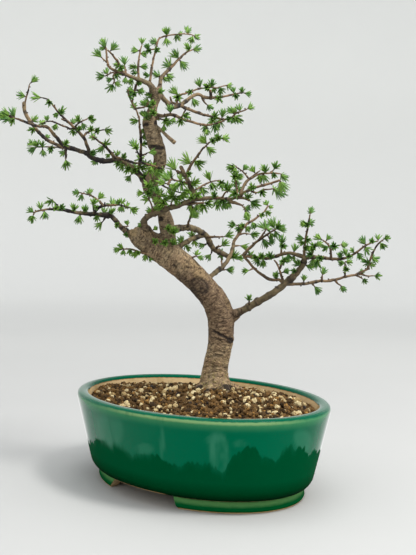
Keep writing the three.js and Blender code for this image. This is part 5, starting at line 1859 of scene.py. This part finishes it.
@dataclass
class Spray:
    """One leafy spray: its twigs and the tufts of needles on them. Millimetres on the board."""

    name: str
    drawing: Drawing
    board: Board
    carriers: Array
    number: int
    low: Array
    high: Array
    step: float = 1.1
    spur: float = 0.8
    spur_sides: int = 7
    needle_width: float = 1.65
    blob: float = 0.46
    crowd: tuple[int, int] = (14, 20)
    to_front: float = 0.6
    spread: float = 42.0
    slimming: float = 0.9
    crook: float = 0.55
    bud_gap: Pair = (4.5, 9.0)

    def standing(self, lines: Sequence[Array]) -> Array:
        """The stretches that carry a twig or tuft: of the twigs, or of the trunk for the first and the shoots."""
        own = [stretches(line) for line in lines]
        return np.concatenate(own if own and self.name != SHOOTS else [*own, self.carriers])

    def limbs(self) -> list[Array]:
        """The twigs, each from the nearest twig or limb before it to its tip.

        Depth runs evenly with the length drawn on the board, from the foothold's to the tip's.

        Returns:
            Their rows of x, y, back and width.
        """
        grown: list[Array] = []
        cloud = Cloud(SEED + Draws.CROOKS + self.number)
        for stem in self.drawing.stems:
            path = stem.path
            hold = Foothold.nearest(self.standing(grown), *path[0])
            if np.hypot(*(hold.point[:2] - path[0])) > 1:
                path = np.concatenate([hold.point[None, :2], path])
            run = travelled(path)
            share = run / run[-1]
            back = hold.point[2] + (stem.back - hold.point[2]) * share
            width = (stem.width[0] + (stem.width[1] - stem.width[0]) * share) * self.slimming
            line = course(np.column_stack([path, back, width]), self.step)
            free = ease(np.arange(len(line)) * self.step, 0.5, 5.0)[:, None]
            flat = line[:, :3] * [1, 1, 0.3]
            bends = [cloud.at(flat + 50 * axis, 6.5) + 0.4 * cloud.at(flat - 50 * axis, 2.6) for axis in range(3)]
            line[:, :3] += self.crook * np.column_stack(bends) * free
            grown.append(line)
        return grown

    def twig(self, line: Array, turn: int) -> Shell:
        """A twig: its width swells at its foot and at its nodes, ripples round it, and closes in a rounded tip; its
        underside gets painted shade.

        Args:
            line: The twig's rows.
            turn: Its number, which picks its ripple.

        Returns:
            The twig.
        """
        cloud = Cloud(SEED + 31 * self.number + turn)
        along = np.arange(len(line)) * self.step
        radius = line[:, 3] / 2
        foot = 0.22 * radius[0] * np.exp(-along / (0.8 * line[0, 3]))
        sides = 12 if radius[0] > 2.4 else 9 if radius[0] > 1.3 else 7
        angle = circle(sides)
        nodes = ease(cloud.at(along[:, None] * [1.0, 0, 0], 3.4), 0.25, 0.75)[:, None]
        spread = np.stack(np.broadcast_arrays(along[:, None], 3 * np.cos(angle), 3 * np.sin(angle)), axis=-1)
        spread = spread.reshape(-1, 3)
        ripple = cloud.layered(spread, 3.0, 2).reshape(len(along), sides)
        rings = (radius + foot)[:, None] * (1 + 0.2 * nodes + 0.16 * ripple)
        rings[-1] *= 0.55
        age = np.repeat(ease(line[:, 3], 1.6, 5.0)[:, None], sides, axis=1)
        old = np.clip(0.25 * (nodes + ripple) + age, 0, 1)
        # Painted shade: the side of a twig that faces down the board is darker.
        down = np.stack([axis[:, 1] for axis in frames(line[:, :3])[1:]], axis=-1)
        under = 0.35 * np.clip(down @ np.stack([np.cos(angle), np.sin(angle)]), 0, 1)
        blots = ease(cloud.layered(spread * [1, 0.5, 0.5], 7.0, 2), 0.35, -0.25).reshape(len(along), sides)
        ring = np.clip(0.8 * nodes * (0.6 + 0.8 * ripple) + self.drawing.dark * blots + under, 0, 1)
        points = self.board.place(rings_round(line[:, :3], rings, sides))
        return closed_tube(points, {"age": old, "ring": ring}).outward()

    def tufts(self, lines: Sequence[Array]) -> Array:
        """Where the tufts sit: rows of the place where the spur leaves the wood, its tip, its axis and a size.

        A tuft drawn nearer to its twig than a spur and half a needle points towards the eye or away from it by
        the angle that shortens it so. One drawn on a thick limb stands on the limb's front.

        Args:
            lines: The twigs.

        Returns:
            Ten columns.
        """
        chance = dice(Draws.TUFTS + self.number)
        carriers = self.standing(lines)
        rows = []
        for x, y, size in self.drawing.tufts:
            hold = Foothold.nearest(carriers, x, y)
            blob = self.blob * size
            reach = hold.radius + self.spur + blob
            sign = -1.0 if chance.uniform() < self.to_front else 1.0
            off = np.array([x, y]) - hold.point[:2]
            across = off / max(hold.distance, 0.5)
            if hold.radius > 4 and hold.distance < hold.radius + 1:
                tilt = min(0.9, hold.distance / reach)
                axis = unit(np.array([across[0] * tilt, across[1] * tilt - 0.35, -math.sqrt(1 - tilt**2)]))
                start = np.array([x, y, hold.point[2] - math.sqrt(max(hold.radius**2 - hold.distance**2, 0))])
                start[:2] -= axis[:2] * blob * 0.7
                tip = start + axis * self.spur
            else:
                flat = min(1.0, hold.distance / reach)
                axis = np.array([across[0] * flat, across[1] * flat, sign * math.sqrt(1 - flat**2)])
                start = hold.point
                tip = start + axis * max(hold.distance - blob, hold.radius + self.spur)
            rows.append(np.hstack([start, tip, axis, size]))
        return np.array(rows)

    def buds(self, lines: Sequence[Array]) -> Array:
        """Where bare knobs sit on the twigs, turned round them by the golden angle: rows like those of the tufts.

        Args:
            lines: The twigs.

        Returns:
            Ten columns, of which the last is the knob's size in tenths of a millimetre.
        """
        chance = dice(Draws.BUDS + self.number)
        rows = []
        for line in lines:
            tangent, across, front = frames(line[:, :3])
            gaps = chance.uniform(*self.bud_gap, 40) * (1 + 0.12 * line[0, 3])
            places = np.cumsum(gaps)
            row = (places[places < (len(line) - 2) * self.step] / self.step).astype(int)
            angle = np.arange(len(row)) * GOLDEN_ANGLE + chance.uniform(0, 6.28)
            out = across[row] * np.cos(angle)[:, None] + front[row] * np.sin(angle)[:, None]
            out = unit(out + 0.45 * tangent[row])
            radius = line[row, 3] / 2
            tip = line[row, :3] + out * (radius + chance.uniform(0.1, 0.9, len(row)))[:, None]
            size = 6.5 + 1.4 * radius + chance.uniform(-1, 1.5, len(row))
            rows.append(np.column_stack([line[row, :3], tip, out, size]))
        return np.concatenate(rows)

    def spurs(self, tufts: Array) -> list[Shell]:
        """The short knobs that carry the tufts: tubes that widen to a collar under the needles.

        Args:
            tufts: The tufts and the bare knobs, with their size in tenths of a millimetre.

        Returns:
            The knobs.
        """
        made = []
        for start, tip, axis, size in zip(tufts[:, :3], tufts[:, 3:6], tufts[:, 6:9], tufts[:, 9]):
            end = tip + 0.5 * axis
            length = np.linalg.norm(end - start)
            share = np.array([0, 0.3, 0.6, 0.8, 0.93, 1.0])
            line = start + (end - start) * share[:, None] + 1e-3 * np.array([1, 0.7, 0.3]) * share[:, None] ** 2
            radius = size / 10 * np.array([0.75, 0.72, 0.8, 1.1, 1.15, 0.6]) * min(1.0, 0.7 + length / 20)
            ring = np.repeat(np.array([0.4, 0.6, 0.85, 1.0, 0.7, 0.5])[:, None], self.spur_sides, axis=1)
            points = self.board.place(rings_round(line, radius, self.spur_sides))
            made.append(closed_tube(points, {"age": np.full(ring.shape, 0.25), "ring": ring}).outward())
        return made

    def needles(self, tufts: Array) -> Shell:
        """The needles: each tuft is a fan round its axis, spread by the golden angle, that opens as it goes out.

        A needle is a flattened three-sided blade on four rings. At share t of its length it has turned away
        from the axis by its own angle times 0.6 + 0.55 t.

        Args:
            tufts: The tufts.

        Returns:
            All the needles of the spray.
        """
        chance = dice(Draws.NEEDLES + self.number)
        counts = (chance.integers(*self.crowd, len(tufts)) * (0.55 + 0.045 * tufts[:, 9])).astype(int)
        owner = np.repeat(np.arange(len(tufts)), counts)
        place = np.concatenate([np.arange(count) for count in counts])
        share = (place + 0.5) / counts[owner]
        axis = unit(tufts[owner, 6:9])
        helper = np.where(np.abs(axis[:, 1:2]) < 0.8, [[0.0, 1.0, 0.0]], [[1.0, 0.0, 0.0]])
        first = unit(np.cross(axis, helper))
        second = np.cross(axis, first)
        azimuth = place * GOLDEN_ANGLE + chance.uniform(0, 6.28, len(tufts))[owner]
        azimuth = azimuth + chance.normal(0, 0.2, len(owner))
        out = first * np.cos(azimuth)[:, None] + second * np.sin(azimuth)[:, None]
        beside = np.cross(axis, out)
        lean = np.radians(self.spread) * share**0.45 * chance.uniform(0.8, 1.15, len(owner))
        length = tufts[owner, 9] * chance.uniform(0.70, 0.96, len(owner)) * (1 - 0.12 * share)
        start = tufts[owner, 3:6] + out * (0.55 * np.sqrt(share))[:, None]
        along = np.array([0.0, 0.35, 0.72, 1.0])
        width = np.array([0.5, 1.0, 0.9, 0.25]) * self.needle_width / 2
        rings = []
        centre = start
        for ring, t in enumerate(along):
            angle = (lean * (0.6 + 0.55 * t))[:, None]
            heading = axis * np.cos(angle) + out * np.sin(angle)
            face = out * np.cos(angle) - axis * np.sin(angle)
            if ring:
                centre = centre + heading * (length * (t - along[ring - 1]))[:, None]
            half = width[ring]
            rings.append(np.stack([centre + beside * half, centre - beside * half, centre + face * half * 0.7], axis=1))
        points = np.stack(rings, axis=1).reshape(len(owner), -1, 3)
        sides = net(len(along), 3)
        single = np.concatenate([sides[:, [0, 1, 2]], sides[:, [0, 2, 3]], [[0, 2, 1], [9, 10, 11]]])
        faces = (single[None] + points.shape[1] * np.arange(len(owner))[:, None, None]).reshape(-1, 3)
        inner = 0.35 * np.exp(-((tufts[:, 3] - 175) ** 2 + (tufts[:, 4] - 190) ** 2) / 4200) - 0.12
        tint = np.clip((chance.uniform(0, 0.35, len(tufts)) + inner)[owner] + chance.uniform(0, 0.75, len(owner)), 0, 1)
        values = {"tip": np.tile(np.repeat(along, 3), len(owner)), "tint": np.repeat(tint, points.shape[1])}
        placed = np.clip(self.board.place(points.reshape(-1, 3)), self.low, self.high)
        return Shell(placed, [faces], values).outward()

    def build(self, bark: Material, leaf: Material) -> None:
        """Makes the spray's twigs and its needles.

        Args:
            bark: The twigs' finish.
            leaf: The needles' finish.
        """
        lines = self.limbs()
        tufts = self.tufts(lines)
        knobs = np.concatenate([tufts, self.buds(lines)])
        knobs[: len(tufts), 9] = 8 + 0.15 * tufts[:, 9]
        numbers = [self.drawing.mottle, *range(1, len(lines))]
        wood = Shell.joined([*map(self.twig, lines, numbers), *self.spurs(knobs)])
        wood.points = np.clip(wood.points, self.low, self.high)
        own = () if self.name == SHOOTS else (self.name,)
        dress(wood.build(f"{self.name}_twigs"), bark, "bark", *own)
        dress(self.needles(tufts).build(f"{self.name}_needles"), leaf, "needles", *own)


# ---- studio


@dataclass
class Studio:
    """A pale round room with soft lights, and the camera at the line of sight. Metres."""

    board: Board
    radius: float = 2.6
    bend: float = 0.9
    wall: float = 2.4
    hole: float = 0.02
    columns: int = 96
    tall: float = 555.0
    sensor: float = 36.0

    def room(self, finish: PaleFloor) -> None:
        """The floor and wall: a flat disc that turns up in a quarter circle into a straight wall.

        Args:
            finish: The room's finish.
        """
        turn = np.linspace(0, np.pi / 2, 17)[1:]
        edge, flat = self.radius + self.bend * np.sin(turn), np.linspace(self.hole, self.radius, 14)
        out = np.concatenate([flat, edge, np.full(6, self.radius + self.bend)])[:, None]
        wall = self.bend + np.linspace(0, 1, 7)[1:] * self.wall
        up = np.concatenate([0 * flat, self.bend * (1 - np.cos(turn)), wall])[:, None]
        angle = circle(self.columns)
        points = np.stack(np.broadcast_arrays(out * np.cos(angle), out * np.sin(angle), up), -1).reshape(-1, 3)
        faces = [net(len(out), self.columns), fan(0, self.columns, len(points), True)]
        room = Shell(np.concatenate([points, np.zeros((1, 3))]), faces).build("studio_room")
        room.data.flip_normals()
        room.data.materials.append(finish.material())
        room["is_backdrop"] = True

    def light(
        self, name: str, spot: Triple, aim: Triple, size: float, power: float, tint: Triple, mirrored: bool = True
    ) -> None:
        """A square soft light.

        Args:
            name: Its name.
            spot: Where it is, on the right, ahead and up from the pot as the eye sees it.
            aim: The point that it faces.
            size: Its width.
            power: Its power in watts.
            tint: Its colour.
            mirrored: Whether it shows in reflections.
        """
        lamp = bpy.data.lights.new(name, "AREA")
        lamp.shape, lamp.size, lamp.energy, lamp.color = "SQUARE", size, power, tint
        place, target = (self.board.spin() @ np.array(end) for end in (spot, aim))
        made = linked(name, lamp)
        made.matrix_world = aimed(place, unit(target - place))
        made.visible_glossy = mirrored

    def camera(self) -> None:
        """The camera: its focal length is the board's distance over its height, times the sensor's long side."""
        lens = bpy.data.cameras.new("camera")
        lens.sensor_fit, lens.sensor_width = "AUTO", self.sensor
        lens.lens = self.board.distance / self.tall * self.sensor
        made = linked("camera", lens)
        made.matrix_world = posed(*self.board.axes(), self.board.eye())
        bpy.context.scene.camera = made

    def build(self) -> None:
        """Sets up the room, the sky, the lights and the camera."""
        self.room(PaleFloor())
        world = bpy.data.worlds.new("sky")
        world.use_nodes = True
        sky = world.node_tree.nodes["Background"]
        sky.inputs["Color"].default_value, sky.inputs["Strength"].default_value = (0.95, 0.97, 1.0, 1.0), 0.75
        bpy.context.scene.world = world
        bpy.context.scene.view_settings.view_transform = "Standard"
        self.light("overhead", (0.1, -0.1, 2.1), (0.0, 0.0, 0.1), 1.6, 24, (1.0, 0.985, 0.96))
        self.light("window", (0.75, -0.55, 1.6), (0.0, 0.0, 0.2), 0.36, 22, (1.0, 0.98, 0.94))
        self.light("front_fill", (-1.4, -1.6, 1.0), (0.0, 0.0, 0.2), 1.5, 8, (0.97, 0.985, 1.0), mirrored=False)
        self.light("side_fill", (1.7, -0.9, 1.1), (0.0, 0.0, 0.2), 1.3, 9, (1.0, 0.99, 0.97), mirrored=False)
        self.camera()


def posed(right: Array, up: Array, ahead: Array, place: Array) -> Matrix:
    """The matrix of something at a place that looks ahead along its own -Z."""
    return Matrix([*np.column_stack([right, up, -ahead, place]).tolist(), [0, 0, 0, 1]])


def aimed(place: Array, ahead: Array) -> Matrix:
    """The matrix of something upright at a place that looks ahead along its own -Z."""
    right = unit(np.cross(ahead, [0.0, 0.0, 1.0]))
    return posed(right, np.cross(right, ahead), ahead, place)


def main() -> None:
    """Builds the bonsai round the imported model."""
    logging.basicConfig(level=logging.INFO, format="%(name)s: %(message)s")
    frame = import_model()
    packed = [list(corner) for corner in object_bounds()]
    low, high = (np.array(corner) for corner in packed)
    pot_low, pot_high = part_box("pot")
    middle = ((pot_low.x + pot_high.x) / 2, (pot_low.y + pot_high.y) / 2)
    board = Board(middle)

    Studio(board).build()
    pot = Pot(middle, board)
    pot.build(GlazedClay())
    for node in ("screen_left", "screen_right"):
        screen = frame["nodes"][node]
        screen.data.materials.clear()
        screen.data.materials.append(BlackPlastic().material())
        LOG.info("%s: kept from the packed model", node)
    foot = board.place(TRUNK_LINE[3, :3])
    Soil(pot, tuple((foot[:2] - middle) / MM)).build()
    bark, leaf = Twigs().material(), Needles().material()
    carriers = Trunk(board).carriers()
    sprays = [
        Spray(name, drawing, board, carriers, number, low + MARGIN, high - MARGIN)
        for number, (name, drawing) in enumerate(SPRAYS.items())
    ]
    Trunk(board, [spray.limbs()[0] for spray in sprays[1:]]).build(Bark())
    for spray in sprays:
        spray.build(bark, leaf)


if __name__ == "__main__":
    main()
